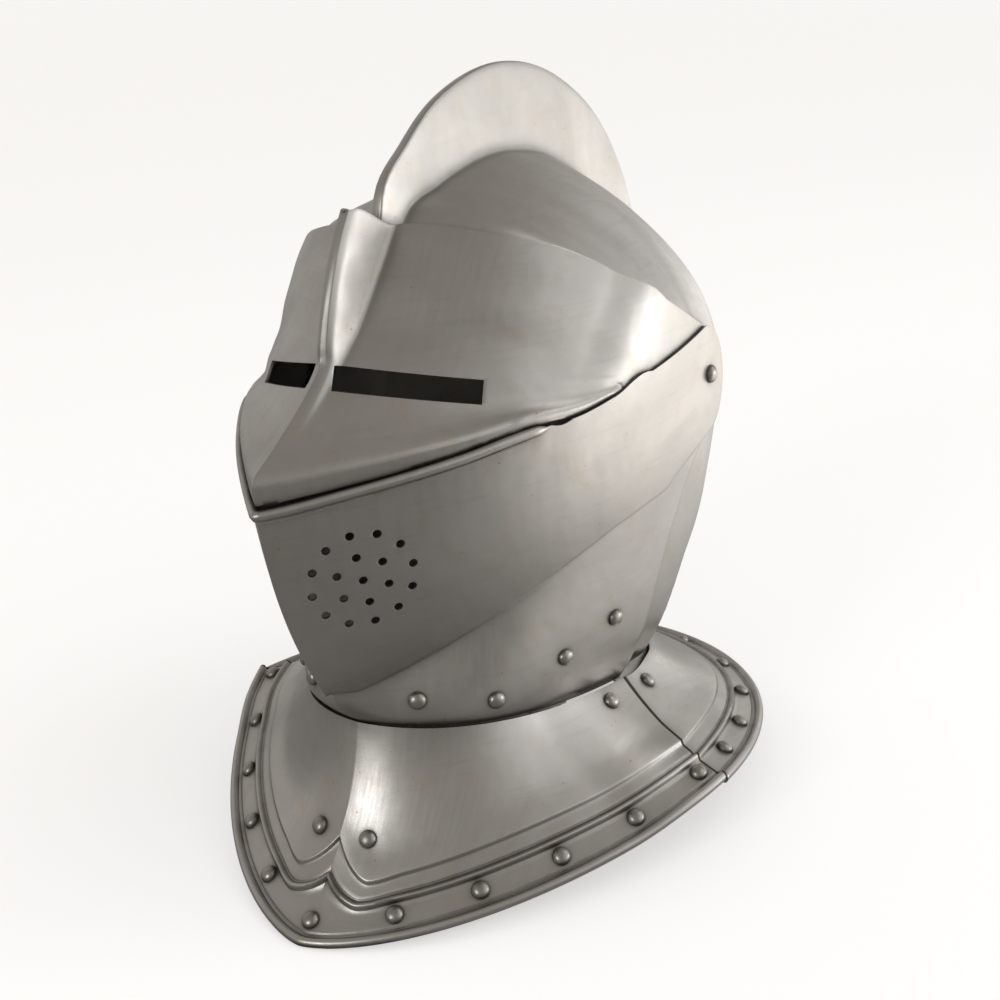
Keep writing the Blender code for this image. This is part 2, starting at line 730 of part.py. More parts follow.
def add_ventail(parent, collection, cutters, polished):
    stations = steps(0, 0.06, 1) + steps(0.12, 0.62, 9) + steps(0.62, STRAP_END, 3)[1:]
    grid = strap(VENTAIL, stations, steps(0, 1, 6), ventail_foot, ventail_top, -14.0, (0.030, 0.025, 0.0175), 8)
    mesh = grid_mesh("ventail", grid)
    ventail = add_shell("ventail", mesh, polished["ventail"], parent, collection)
    cutter = holes("ventail_pivot_holes", both_pivots(), PIVOT_HOLE_R, 0.03, 12, parent, cutters)
    cut(ventail, cutter, "pivot_holes")
    cutter = holes("breath_holes", breaths(), BREATH_R, 0.012, 6, parent, cutters)
    cut(ventail, cutter, "breath_holes")


def breaths():
    """On each cheek a ring of twelve breaths, a ring of six and one in the middle."""
    middle_angle, middle_t = -23.1, 0.146
    centre = place(VENTAIL, middle_angle, middle_t)
    normal = plate_normal(VENTAIL, middle_angle, middle_t)
    up = (place(VENTAIL, middle_angle + 1, middle_t) - centre).normalized()
    side = up.cross(normal)
    frames = [facing(centre, normal), facing(*mirrored(centre, normal))]
    for count, radius, first in ((12, BREATH_RING_R, 0), (6, BREATH_RING_R * 0.52, 0)):
        for k in range(count):
            turn = math.radians(first + 360 * k / count)
            point = centre + up * (radius * math.cos(turn)) + side * (radius * math.sin(turn))
            frames.append(facing(point, normal))
            frames.append(facing(*mirrored(point, normal)))
    return frames


def add_visor(parent, collection, cutters, polished):
    def low(t):
        return ramp(((0.0, -17.0), (0.55, -14.0), (0.70, -16.0), (STRAP_END, -30.0)), t)

    def high(t):
        return ramp(((0.0, 28.3), (0.05, 32.3), (0.25, 34.0), (0.45, 37.5), (0.65, 41.0),
                     (STRAP_END, 46.0)), t)

    stations = [0, 0.012, 0.022, 0.031, 0.042, 0.065, 0.12] + steps(0.20, STRAP_END, 8)
    grid = strap(VISOR, stations, steps(0, 1, 13), low, high, 8.0, (0.024, 0.022, 0.015), 6)
    mesh = grid_mesh("visor", grid)
    visor = add_shell("visor", mesh, polished["visor"], parent, collection)
    cutter = holes("visor_pivot_holes", both_pivots(), PIVOT_HOLE_R, 0.03, 12, parent, cutters)
    cut(visor, cutter, "pivot_holes")
    bm = bmesh.new()
    for side in (1, -1):
        inner = Vector((side * 0.0062, -0.1705, 0.0108))
        outer = Vector((side * 0.0620, -0.1345, 0.0042))
        run = outer - inner
        depth = Vector((0, 0, 1)).cross(run).normalized()
        rise = run.normalized().cross(depth)
        axes = Matrix((run.normalized(), depth, rise)).transposed().to_4x4()
        sizes = Matrix.Diagonal((run.length, 0.05, SIGHT_HEIGHT, 1))
        matrix = Matrix.Translation((inner + outer) / 2) @ axes @ sizes
        bmesh.ops.create_cube(bm, size=1.0, matrix=matrix)
    bmesh.ops.recalc_face_normals(bm, faces=bm.faces)
    cutter = add_cutter("sights", bm, parent, cutters)
    cut(visor, cutter, "sights")


def facet(w, below, lapped):
    """Place on the gorget's outer face and the slope there; below is counted down from the neck
    edge, or up from the rim when it is negative."""
    frame = collar_frame(w)
    face = collar_face(w, frame[2], True)
    lift = front_lift(abs(w)) if lapped else 0.0
    distance = below if below > 0 else frame[2] + below
    i = 0
    while i < len(face) - 2 and face[i + 1][0] < distance:
        i += 1
    upper = collar_point(frame, face[i][0], face[i][1] + lift)
    lower = collar_point(frame, face[i + 1][0], face[i + 1][1] + lift)
    part = (distance - face[i][0]) / (face[i + 1][0] - face[i][0])
    return upper.lerp(lower, part), (lower - upper).normalized()


def gorget_rivet(w, below, lapped):
    """Frame of a rivet that stands square on the gorget's face, and its twin on the right."""
    point, down = facet(w, below, lapped)
    along = facet(w + 0.015, below, lapped)[0] - facet(w - 0.015, below, lapped)[0]
    normal = along.cross(down).normalized()
    if normal.z < 0:
        normal.negate()
    if abs(point.x) < 1e-5:
        point.x = 0.0
        normal.x = 0.0
        return [facing(point, normal)]
    return [facing(point, normal), facing(*mirrored(point, normal))]


def front_lift(w):
    return LAP * smooth(w, 0.76, 0.90)


def add_gorget(root, bevor_hinge, collection, cutters, polished, stand):
    """The front plate laps over the rear one at both sides; only the rim itself is butted."""
    rivet = rivet_mesh("gorget_rivet", RIVET_R, RIVET_H, RIVET_SHANK_R, SHEET + 0.0005,
                       RIVET_TAIL_R, RIVET_TAIL_H, RIVET_SIDES)
    flush = rivet_mesh("gorget_flush_rivet", RIVET_R, RIVET_H, RIVET_SHANK_R, SHEET * 0.5,
                       RIVET_SHANK_R, SHEET * 0.4, RIVET_SIDES)
    values = [0, 0.02, 0.045, 0.075] + steps(0.11, 0.85, 12) + [0.91, 0.955, 1]
    values = [-w for w in values[:0:-1]] + values
    rings = [collar_ring(w, front_lift(abs(w)), True) for w in values]
    plate = add_plate("front_gorget", rings, polished["gorget"], bevor_hinge, collection, stand)
    clenched = gorget_rivet(0.15, -0.048, True)
    lapped = gorget_rivet(FRONT_NECK_RIVET, NECK_RIVET_DROP, True)
    for w in border_places(0.0, 1.0, RIM_RIVET_PITCH, 6):
        frames = gorget_rivet(w, -RIM_RIVET_IN, True)
        if front_lift(w) < LAP:
            clenched += frames
        else:
            lapped += frames
    cutter = holes("front_gorget_holes", clenched + lapped, RIVET_HOLE_R, 0.010, RIVET_SIDES,
                   bevor_hinge, cutters)
    cut(plate, cutter, "rivet_holes")
    add_rivets("front_gorget_rivet", clenched, rivet, polished["rivet"], bevor_hinge, collection)
    add_rivets("front_lap_rivet", lapped, flush, polished["rivet"], bevor_hinge, collection)

    values = [0.91, 0.955, 1.005, 1.018] + steps(1.08, 2.92, 26) + [2.982, 2.995, 3.045, 3.09]
    rings = [collar_ring(w, 0.0, 1.01 < w < 2.99) for w in values]
    plate = add_plate("rear_gorget", rings, polished["gorget"], root, collection, stand)
    frames = []
    places = border_places(2.0, 1.1, REAR_RIVET_PITCH, 5)
    for w in places + [1.10]:
        frames += gorget_rivet(w, -RIM_RIVET_IN, False)
    frames += gorget_rivet(REAR_NECK_RIVET, NECK_RIVET_DROP, False)
    cutter = holes("rear_gorget_holes", frames, RIVET_HOLE_R, 0.010, RIVET_SIDES, root, cutters)
    cut(plate, cutter, "rivet_holes")
    add_rivets("rear_gorget_rivet", frames, rivet, polished["rivet"], root, collection)


def add_plate(name, rings, material, parent, collection, stand):
    rings = [[stand_flat(point, stand) for point in ring] for ring in rings]
    return add_object(name, collar_mesh(name, rings), material, parent, collection)


def add_pivots(parent, collection, cutters, polished):
    """A headed pin through all four layers on each side, clenched over a washer."""
    inside = SKULL_W - SHEET
    length = VENTAIL_W - inside + 0.0026
    pin = rivet_mesh("pivot_pin", PIVOT_R, 0.0032, PIVOT_SHANK_R, length, 0.0042, 0.0010, 12)
    bm = bmesh.new()
    bmesh.ops.create_cone(bm, cap_ends=True, segments=20, radius1=WASHER_R, radius2=WASHER_R,
                          depth=0.0012)
    disc = bpy.data.meshes.new("pivot_washer")
    bm.to_mesh(disc)
    bm.free()
    for side, name in ((1, "left"), (-1, "right")):
        outward = Vector((side, 0, 0))
        obj = add_object(f"pivot_pin_{name}", pin, polished["rivet"], parent, collection)
        obj.matrix_local = facing(outward * VENTAIL_W, outward)
        seat = facing(outward * (inside - 0.0013), outward)
        washer = add_object(f"pivot_washer_{name}", disc, polished["rivet"], parent, collection)
        washer.matrix_local = seat
        cutter = holes(f"washer_hole_{name}", [seat], PIVOT_HOLE_R, 0.006, 12, parent, cutters)
        cut(washer, cutter, "hole")


main()
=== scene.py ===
"""Looks of the close helmet: fine steel plates, rivets, floor, light and camera.

The plates follow the CAD's sections.  A section is a curve from the middle plane (x = 0) out to
the side pivot, given at each angle about the pivot axis: 0 looks straight ahead, 90 up, 180 back.
All lengths are in metres and all angles in degrees unless a name says otherwise.
"""
import json
import math

import bmesh
import bpy
from mathutils import Matrix, Vector

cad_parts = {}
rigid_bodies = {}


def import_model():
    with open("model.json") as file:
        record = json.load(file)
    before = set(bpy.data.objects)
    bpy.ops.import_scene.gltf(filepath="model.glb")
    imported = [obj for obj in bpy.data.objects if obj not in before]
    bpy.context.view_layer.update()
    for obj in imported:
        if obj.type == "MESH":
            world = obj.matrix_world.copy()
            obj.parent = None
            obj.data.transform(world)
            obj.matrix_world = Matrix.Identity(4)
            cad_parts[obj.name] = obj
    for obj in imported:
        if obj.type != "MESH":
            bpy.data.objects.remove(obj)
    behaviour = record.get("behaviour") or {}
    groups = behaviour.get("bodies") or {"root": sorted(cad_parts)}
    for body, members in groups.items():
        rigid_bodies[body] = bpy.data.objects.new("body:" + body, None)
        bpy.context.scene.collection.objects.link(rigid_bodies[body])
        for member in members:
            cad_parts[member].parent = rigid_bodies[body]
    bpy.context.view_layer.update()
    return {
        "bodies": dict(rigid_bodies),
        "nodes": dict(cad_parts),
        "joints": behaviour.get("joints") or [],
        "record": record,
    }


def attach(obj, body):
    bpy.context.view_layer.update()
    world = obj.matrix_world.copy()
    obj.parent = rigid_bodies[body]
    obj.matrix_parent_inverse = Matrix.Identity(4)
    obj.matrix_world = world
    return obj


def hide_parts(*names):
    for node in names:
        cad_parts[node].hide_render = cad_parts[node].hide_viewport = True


# Shape, as in the CAD
PIVOT = Vector((0, 0.0407, 0.2187))
LEAN = 9.4
SHEET = 0.0014
SKULL_W = 0.1082
BEVOR_W = 0.1102
VISOR_W = 0.1122
VENTAIL_W = 0.1142
BROW = 24                 # angle of the skull's lower edge over the face, in the middle
FACE_AHEAD = 0.042        # the skull's upright edge is this far ahead of the pivots
NECK_Z = -0.160
RIM_A = 0.151
RIM_FRONT_Y = -0.0206
RIM_FRONT_B = 0.1777
RIM_FRONT_Z = -0.1846
RIM_FRONT_FALL = 0.378
RIM_FRONT_POINT = 1.53
RIM_FRONT_TURN = 76.7
RIM_REAR_A = 0.149
RIM_REAR_Y = -0.044
RIM_REAR_B = 0.198
RIM_REAR_Z = -0.1942
RIM_ROLL = 0.0026
NECK_GAP = 0.0012
FLARE_FRONT = 0.105
FLARE_REAR = 0.05
LAP = 0.0024
STRIP = 0.0146            # sunken strip between the rim and the bead
BEAD = 0.0044             # width of the raised bead
BORDER = 0.026            # from the rim to the foot of the ledge
STRIP_SINK = 0.0014
BEAD_H = 0.0021
LEDGE_H = 0.0016
LEDGE_EASE = 0.0009       # fall of the face behind the ledge
GROOVE = 0.0005           # depth of the fine grooves beside the rim's roll and the bead
# Cusps of these lines in front: rise, half width, and the dip beside it (depth, place, reach)
LEDGE_CUSP = (0.0215, 0.0215, 0.0012, 0.024, 0.013)
BEAD_CUSP = (0.0135, 0.0195, 0.0009, 0.023, 0.012)
RIVET_R = 0.0044
RIVET_H = 0.0034
RIM_RIVET_IN = 0.0095
RIM_RIVET_PITCH = 0.042
REAR_RIVET_PITCH = 0.048
NECK_RIVET_DROP = 0.0080
FRONT_NECK_RIVET = 0.95
REAR_NECK_RIVET = 1.14
CHIN_RIVETS = ((-45.2, 0.031), (-52.0, 0.058), (-58.5, 0.077), (-66.5, 0.089))
PIVOT_R = 0.0046
PIVOT_H = 0.0036
PIVOT_HOLE_R = 0.0029
BREATH_R = 0.00205
BREATH_RING_R = 0.0235
BREATH_ANGLE = -23.1
BREATH_T = 0.146
CREASE = 5.5              # angle of the visor's crease over its prow
SIGHT_INNER = (0.0062, -0.1705, 0.0108)
SIGHT_OUTER = (0.0620, -0.1345, 0.0042)
SIGHT_HEIGHT = 0.0105
SIGHT_DEPTH = 0.05
VENTAIL_DEPTH = 0.112     # from its upper to its lower edge, round the front
RIDGE_H = 0.0005          # faint ridge under the ventail's rolled edge
EDGE_ROLL = 0.0023        # rolled edge along the top of the ventail
ROLL_END = 0.552          # place on the section where it tapers to nothing
ROLL_DROP = 0.32
ROLL_SIDES = 16
NEAR_MIDDLE = 0.004       # a normal is taken no nearer the middle plane than this
# Lines of the flanges that tuck under the gorget: distance down from its neck edge, and height
FLANGE = ((0.002, -0.0030), (0.005, -0.0036), (0.014, -0.0036))
FLANGE_PART = 0.89        # the bevor's flange ends here, short of the join
FLANGE_TAPER = 10         # and narrows over this many stations
LAP_EDGE = 0.0045         # part of the front plate's half turn that is painted dark as shade at its end
SEAM_DEPTH = 0.0016       # the rear plate sinks by this beside the front plate's edge
CHIN_BOWL = 0.0034        # the chin bulges by this between the ventail and the neck
STRAP_END = 0.80
HUB = {"crown": 0.222, "rake": 0.95, "fore": 0.57, "cheek": 0.104}
HUB_FROM = 0.60
HUB_TO = 0.85
SKULL_CORNER = 284.5
SKULL_JOIN = 279.5

# Sections: (angle, value) stations.  A plate's end is the reach of its strap round the pivot,
# below, above and behind it, in a frame turned to its heading.
SKULL = {
    "half": SKULL_W,
    "crown": ((35, 0.138), (47, 0.127), (60, 0.1195), (75, 0.1145), (90, 0.112), (105, 0.112),
              (120, 0.115), (150, 0.129), (180, 0.143), (215, 0.152), (232, 0.163), (244, 0.179),
              (253, 0.187), (266, 0.211), (285, 0.212), (330, 0.190), (366, 0.152), (384, 0.138)),
    "rake": ((35, 0.05), (60, 0.20), (90, 0.30), (120, 0.35), (150, 0.30), (180, 0.20),
             (215, 0.10), (244, 0.0), (330, 0.05), (384, 0.05)),
    "fore": ((35, 0.57), (60, 0.52), (90, 0.48), (120, 0.46), (150, 0.48), (180, 0.50),
             (215, 0.52), (244, 0.56), (266, 0.59), (330, 0.57), (384, 0.57)),
    "cheek": ((35, 0.57), (60, 0.48), (90, 0.43), (120, 0.43), (150, 0.45), (180, 0.47),
              (215, 0.50), (244, 0.57), (266, 0.63), (282, 0.55), (330, 0.44), (384, 0.57)),
    "hub_from": ((240, 0.80), (262, 0.56), (345, 0.56), (385, 0.80)),
    "hub_to": ((240, 0.97), (262, 0.80), (345, 0.80), (385, 0.97)),
}
# The bevor's stations count from its upper, keeled part (0) down to its round neck (1)
BEVOR = {
    "half": BEVOR_W,
    "crown": ((0, 0.217), (1, 0.217)),
    "rake": ((0, 0.95), (0.15, 0.88), (1, 0.05)),
    "fore": ((0, 0.57), (1, 0.60)),
    "cheek": ((0, 0.47), (0.15, 0.49), (1, 0.70)),
    "heading": -50.0,
    "end": (0.024, 0.022, 0.016),
}
BEVOR_NECK = ((0.0, -47.5), (0.1, -47.8), (0.2, -49), (0.3, -54), (0.4, -61), (0.5, -72),
              (0.6, -85), (0.8, -110))
VENTAIL = {
    "half": VENTAIL_W,
    "crown": ((-50, 0.222), (0, 0.222)),
    "rake": ((-50, 0.95), (0, 0.95)),
    "fore": ((-50, 0.57), (0, 0.57)),
    "cheek": ((-50, 0.47), (0, 0.47)),
    "heading": -14.0,
    "end": (0.030, 0.025, 0.0175),
}
VISOR = {
    "half": VISOR_W,
    "crown": ((-18, 0.213), (-10.75, 0.216), (-10.05, 0.2212), (-9.2, 0.222), (-7.7, 0.222),
              (-4.7, 0.207), (-1.7, 0.192), (1.3, 0.180), (4, 0.1715), (5.5, 0.168), (8, 0.163),
              (12, 0.156), (20, 0.148), (28, 0.1445), (45, 0.143)),
    "rake": ((-5, 0.95), (5, 0.50), (12, 0.35), (20, 0.15), (35, 0.08)),
    "fore": ((-8, 0.57), (5, 0.50), (35, 0.56)),
    "cheek": ((-8, 0.47), (5, 0.62), (35, 0.60)),
    "heading": 8.0,
    "end": (0.024, 0.022, 0.015),
}
# How far the comb and the keel stand up along the middle plane, by angle
COMB_RISE = ((24, 0.0040), (35, 0.0155), (47, 0.0265), (60, 0.035), (90, 0.043), (105, 0.0435),
             (120, 0.0420), (150, 0.0290), (180, 0.0135), (205, 0.0045), (225, 0.0))
KEEL_RISE = ((-5, 0.0), (1.3, 0.002), (5.5, 0.0044), (8, 0.0094), (12, 0.0164), (20, 0.0244),
             (28, 0.0279), (45, 0.0294))
# Profiles across the comb and the keel, finer than in the CAD: flat crest, crisp shoulders and
# a crease at the foot, as (distance from the middle plane, part of the rise)
COMB_SHAPE = ((0.0, 1.0), (0.0021, 1.0), (0.0026, 0.975), (0.0030, 0.89), (0.0052, 0.20),
              (0.0059, 0.065), (0.0066, 0.015), (0.0080, 0.0))
KEEL_SHAPE = ((0.0, 1.0), (0.0022, 1.0), (0.0027, 0.975), (0.0040, 0.87), (0.0045, 0.77),
              (0.0060, 0.19), (0.0067, 0.06), (0.0076, 0.01), (0.0092, 0.0))
# Distances from the middle plane of the columns over the crests
CREST_X = (0, 0.0008, 0.0015, 0.0021, 0.00235, 0.0026, 0.0028, 0.0030, 0.0034, 0.0040, 0.0046,
           0.0052, 0.0055, 0.0059, 0.0063, 0.0067, 0.0072, 0.0080, 0.0090, 0.0105, 0.0125)
KEEL_X = (0, 0.0008, 0.0016, 0.0022, 0.00245, 0.0027, 0.0032, 0.0037, 0.0041, 0.0044, 0.0047,
          0.0051, 0.0056, 0.0060, 0.0064, 0.0067, 0.0071, 0.0076, 0.0082, 0.0090, 0.0100, 0.0125)

# Photograph's view
CAMERA_PLACE = Vector((0.3891, -0.6009, 0.4307))
CAMERA_AHEAD = Vector((-0.4985, 0.7862, -0.3652))
CAMERA_ROLL = -5.0
CAMERA_LENS = 51.2


# ---- curves and sections ----

def mix(a, b, part):
    return a + (b - a) * part


def smooth(value, low, high):
    part = min(max((value - low) / (high - low), 0.0), 1.0)
    return part * part * (3 - 2 * part)


def steps(first, last, count):
    return [mix(first, last, i / count) for i in range(count + 1)]


def slope(stations, i):
    """Slope at station i that never overshoots its neighbours."""
    if i == 0 or i == len(stations) - 1:
        return 0.0
    before = (stations[i][1] - stations[i - 1][1]) / (stations[i][0] - stations[i - 1][0])
    after = (stations[i + 1][1] - stations[i][1]) / (stations[i + 1][0] - stations[i][0])
    if before * after <= 0:
        return 0.0
    return 2 * before * after / (before + after)


def ramp(stations, at):
    """Smooth curve through (place, value) stations, level beyond both ends."""
    if at <= stations[0][0]:
        return stations[0][1]
    if at >= stations[-1][0]:
        return stations[-1][1]
    i = 0
    while stations[i + 1][0] < at:
        i += 1
    (x0, y0), (x1, y1) = stations[i], stations[i + 1]
    span = x1 - x0
    p = (at - x0) / span
    rise0 = slope(stations, i) * span
    rise1 = slope(stations, i + 1) * span
    return (y0 * (1 + 2 * p) * (1 - p) ** 2 + rise0 * p * (1 - p) ** 2
            + y1 * p * p * (3 - 2 * p) + rise1 * p * p * (p - 1))


def solve(function, low, high):
    """Root of a function whose sign changes once between low and high."""
    sign = function(low) > 0
    for _ in range(32):
        middle = (low + high) / 2
        if (function(middle) > 0) == sign:
            low = middle
        else:
            high = middle
    return (low + high) / 2


def ventail_top(t):
    """Angle of the ventail's upper edge along its section."""
    return ramp(((0.0, -10.8), (0.15, -10.0), (0.35, -8.2), (0.50, -5.8), (0.60, -4.8),
                 (0.70, -1.0), (0.80, 8.0)), t)


def ventail_foot(t):
    """Angle of the ventail's lower edge along its section."""
    return ramp(((0.0, -38.7), (0.06, -40.8), (0.50, -41.5), (0.62, -43.5), (0.72, -50.0),
                 (STRAP_END, -60.0)), t)


def bevor_station(angle, t):
    foot = ventail_foot(t)
    return min(max((angle - foot) / (ramp(BEVOR_NECK, t) - foot), 0.0), 1.0)


def visor_angle(angle, t):
    """Stretches the prow of the visor so that it follows the ventail's upper edge."""
    if angle >= CREASE:
        return angle
    edge = min(ventail_top(t), 2.0)
    return CREASE - (CREASE - angle) * (CREASE - ventail_top(0)) / (CREASE - edge)


def section(plate, angle, t):
    """Place (x, radius) on a plate's outer face; t runs from the middle (0) to the pivot (1)."""
    at = angle
    if plate is VISOR:
        at = visor_angle(angle, t)
    if plate is BEVOR:
        at = bevor_station(angle, t)
    hub = smooth(t, HUB_FROM, HUB_TO)
    if plate is SKULL:
        hub = smooth(t, ramp(SKULL["hub_from"], at), ramp(SKULL["hub_to"], at))
    half = plate["half"]
    crown = ramp(plate["crown"], at)
    fore = ramp(plate["fore"], at)
    lead = crown - fore * half * ramp(plate["rake"], at)
    cheek = ramp(plate["cheek"], at) * crown
    hub_lead = HUB["crown"] - HUB["fore"] * half * HUB["rake"]
    crown = mix(crown, HUB["crown"], hub)
    fore = mix(fore, HUB["fore"], hub)
    lead = mix(lead, hub_lead, hub)
    cheek = mix(cheek, HUB["cheek"], hub)
    a, b, c, d = (1 - t) ** 3, 3 * t * (1 - t) ** 2, 3 * t * t * (1 - t), t ** 3
    x = b * fore * half + (c + d) * half
    radius = a * crown + b * lead + c * cheek
    if plate is SKULL and x < COMB_SHAPE[-1][0]:
        radius += ramp(COMB_RISE, at) * ramp(COMB_SHAPE, x)
    if plate is BEVOR:
        radius += CHIN_BOWL * math.sin(math.pi * at ** 0.8) * (1 - smooth(t, 0.30, 0.62))
    if plate is VISOR and x < KEEL_SHAPE[-1][0]:
        radius += ramp(KEEL_RISE, at) * ramp(KEEL_SHAPE, x)
    return x, radius


def place(plate, angle, t):
    x, radius = section(plate, angle, t)
    turn = math.radians(angle)
    return Vector((x, -radius * math.cos(turn), radius * math.sin(turn)))


def plate_normal(plate, angle, t):
    """Outward normal of a plate from two short steps on its surface."""
    step_angle = place(plate, angle + 0.5, t) - place(plate, angle - 0.5, t)
    step_t = place(plate, angle, t + 0.004) - place(plate, angle, t - 0.004)
    return step_t.cross(step_angle).normalized()


def t_at_radius(plate, angle, radius):
    return solve(lambda t: section(plate, angle, t)[1] - radius, 0.3, 0.9999)


def at_side(plate, ahead, above):
    """Place on the plate's side with these distances ahead of and above the pivot."""
    radius = math.hypot(ahead, above)
    angle = math.degrees(math.atan2(above, ahead))
    if angle < -100:
        angle += 360
    return place(plate, angle, t_at_radius(plate, angle, radius))


# ---- meshes ----

STAND = Matrix.Translation(PIVOT) @ Matrix.Rotation(math.radians(-LEAN), 4, "X")


def strap(plate, t_stations, u_stations, low, high, lines):
    """Grid of places: arcs across the strap from the front, then lines across the pivot.

    The strap ends behind the pivot in a half oval, which lies along the plate's heading.
    """
    heading = plate["heading"]
    end_low, end_high, end_back = plate["end"]
    grid = []
    for t in t_stations:
        grid.append([place(plate, mix(low(t), high(t), u), t) for u in u_stations])
    hub_radius = section(plate, heading, STRAP_END)[1]
    edge_low = hub_radius * math.sin(math.radians(low(STRAP_END) - heading))
    edge_high = hub_radius * math.sin(math.radians(high(STRAP_END) - heading))
    turn = math.radians(heading)
    for k in range(1, lines + 1):
        forward = k <= lines // 2
        if forward:
            part = 2 * k / lines
            reach = hub_radius * (1 - part)
            width = 1.0
        else:
            part = 1.0
            swing = math.radians(84) * (2 * k / lines - 1)
            reach = -end_back * math.sin(swing)
            width = math.cos(swing)
        row = []
        for u in u_stations:
            across = mix(mix(edge_low, -end_low, part), mix(edge_high, end_high, part), u)
            along = reach
            if forward:
                along = reach * math.sqrt(1 - (across / hub_radius) ** 2)
            across *= width
            ahead = along * math.cos(turn) - across * math.sin(turn)
            above = along * math.sin(turn) + across * math.cos(turn)
            row.append(at_side(plate, ahead, above))
        grid.append(row)
    return grid


def mesh_of(bm, name):
    mesh = bpy.data.meshes.new(name)
    bm.to_mesh(mesh)
    bm.free()
    return mesh


def tube_mesh(name, rings):
    """Closed body through rings of places: its faces come ring by ring, its two caps last."""
    bm = bmesh.new()
    loops = [[bm.verts.new(point) for point in ring] for ring in rings]
    for low, high in zip(loops, loops[1:]):
        for i in range(len(low)):
            j = (i + 1) % len(low)
            bm.faces.new((low[i], low[j], high[j], high[i]))
    bm.faces.new(loops[0])
    bm.faces.new(loops[-1])
    bmesh.ops.recalc_face_normals(bm, faces=bm.faces)
    return mesh_of(bm, name)


def grid_mesh(name, grid, closed=False, flange=None):
    """Open surface through a grid of places, with its faces looking outward.

    A flange is a row of the grid's places and the lines of places that go on from it.
    """
    bm = bmesh.new()
    rows = [[bm.verts.new(p) for p in row] for row in grid]
    loops = list(zip(rows, rows[1:]))
    if closed:
        loops.append((rows[-1], rows[0]))
    for low, high in loops:
        for i in range(len(low) - 1):
            bm.faces.new((low[i], low[i + 1], high[i + 1], high[i]))
    if flange:
        edge, lines = flange
        before = [rows[i][j] for i, j in edge]
        for line in lines:
            after = [bm.verts.new(p) for p in line]
            for i in range(len(edge) - 1):
                bm.faces.new((before[i], before[i + 1], after[i + 1], after[i]))
            before = after
    bmesh.ops.remove_doubles(bm, verts=bm.verts, dist=1e-6)
    bmesh.ops.recalc_face_normals(bm, faces=bm.faces)
    probe = max(bm.faces, key=lambda f: f.calc_center_median().x)
    if probe.normal.x < 0:
        bmesh.ops.reverse_faces(bm, faces=bm.faces)
    return mesh_of(bm, name)


def add_piece(name, mesh, material, body, nodes):
    """Puts a mesh from the pivot's frame into the row frame, riding on its body."""
    mesh.transform(STAND)
    obj = bpy.data.objects.new(name, mesh)
    bpy.context.scene.collection.objects.link(obj)
    mesh.materials.clear()
    mesh.materials.append(material)
    mesh.shade_smooth()
    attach(obj, body)
    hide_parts(*nodes)
    return obj


def cutter_of(name, pins, boxes):
    """Object that cuts a shell's holes: pins for round ones and boxes for slots."""
    bm = bmesh.new()
    for frame, radius, depth, sides in pins:
        bmesh.ops.create_cone(bm, cap_ends=True, segments=sides, radius1=radius, radius2=radius,
                              depth=depth, matrix=STAND @ frame)
    for matrix in boxes:
        bmesh.ops.create_cube(bm, size=1.0, matrix=STAND @ matrix)
    bmesh.ops.recalc_face_normals(bm, faces=bm.faces)
    cutter = bpy.data.objects.new(name, mesh_of(bm, name))
    bpy.context.scene.collection.objects.link(cutter)
    return cutter


def finish_shell(obj, cutter):
    """Mirrors a half plate, gives it thickness, cuts its holes and rounds its edges."""
    mirror = obj.modifiers.new("other_half", "MIRROR")
    mirror.use_mirror_merge = True
    mirror.merge_threshold = 0.00005
    sheet = obj.modifiers.new("sheet", "SOLIDIFY")
    sheet.thickness = SHEET
    sheet.offset = -1
    sheet.use_even_offset = True
    if cutter:
        holes = obj.modifiers.new("holes", "BOOLEAN")
        holes.operation = "DIFFERENCE"
        holes.object = cutter
        holes.solver = "EXACT"
    edge = obj.modifiers.new("soft_edges", "BEVEL")
    edge.width = 0.0003
    edge.segments = 2
    edge.limit_method = "ANGLE"
    edge.angle_limit = math.radians(50)
    depsgraph = bpy.context.evaluated_depsgraph_get()
    mesh = bpy.data.meshes.new_from_object(obj.evaluated_get(depsgraph))
    obj.modifiers.clear()
    obj.data = mesh
    mesh.shade_smooth()
    mesh.set_sharp_from_angle(angle=math.radians(38))
    if cutter:
        bpy.data.objects.remove(cutter, do_unlink=True)


def facing(point, normal):
    """Frame at a point whose Z axis is the normal."""
    return Matrix.Translation(point) @ normal.to_track_quat("Z", "Y").to_matrix().to_4x4()


def twins(point, normal):
    """Frames at a point and at its mirror image."""
    if abs(point.x) < 1e-5:
        return [facing(Vector((0, point.y, point.z)), Vector((0, normal.y, normal.z)))]
    other = Vector((-point.x, point.y, point.z))
    turned = Vector((-normal.x, normal.y, normal.z))
    return [facing(point, normal), facing(other, turned)]


def bump(value, centre, reach):
    """Smooth hump of height 1 that ends at reach on both sides of the centre."""
    return smooth(reach - abs(value - centre), 0.0, reach)


def t_at_x(plate, angle, x):
    return solve(lambda t: section(plate, angle, t)[0] - x, 0.0, 0.3)


def crest_row(plate, angle, crest, t_last, count):
    """Places of a row: fine over the crest, then evenly out to t_last."""
    stations = [t_at_x(plate, angle, x) if x else 0.0 for x in crest]
    stations += steps(stations[-1], t_last, count)[1:]
    return stations


# ---- skull ----

SKULL_NAPE = solve(lambda a: place(SKULL, a, 0.0).z - NECK_Z, 225.0, 262.0)
BEVOR_CORNER = solve(lambda t: place(BEVOR, -80.0, t).z - NECK_Z, 0.2, 0.75)


def face_edge(angle):
    """Radius of the skull's edge round the face, ahead of the pivots."""
    upright = FACE_AHEAD / math.cos(math.radians(angle))
    brow = section(SKULL, BROW + 360, 0.05)[1]
    return mix(upright, brow, smooth(angle, 0, BROW) ** 1.6)


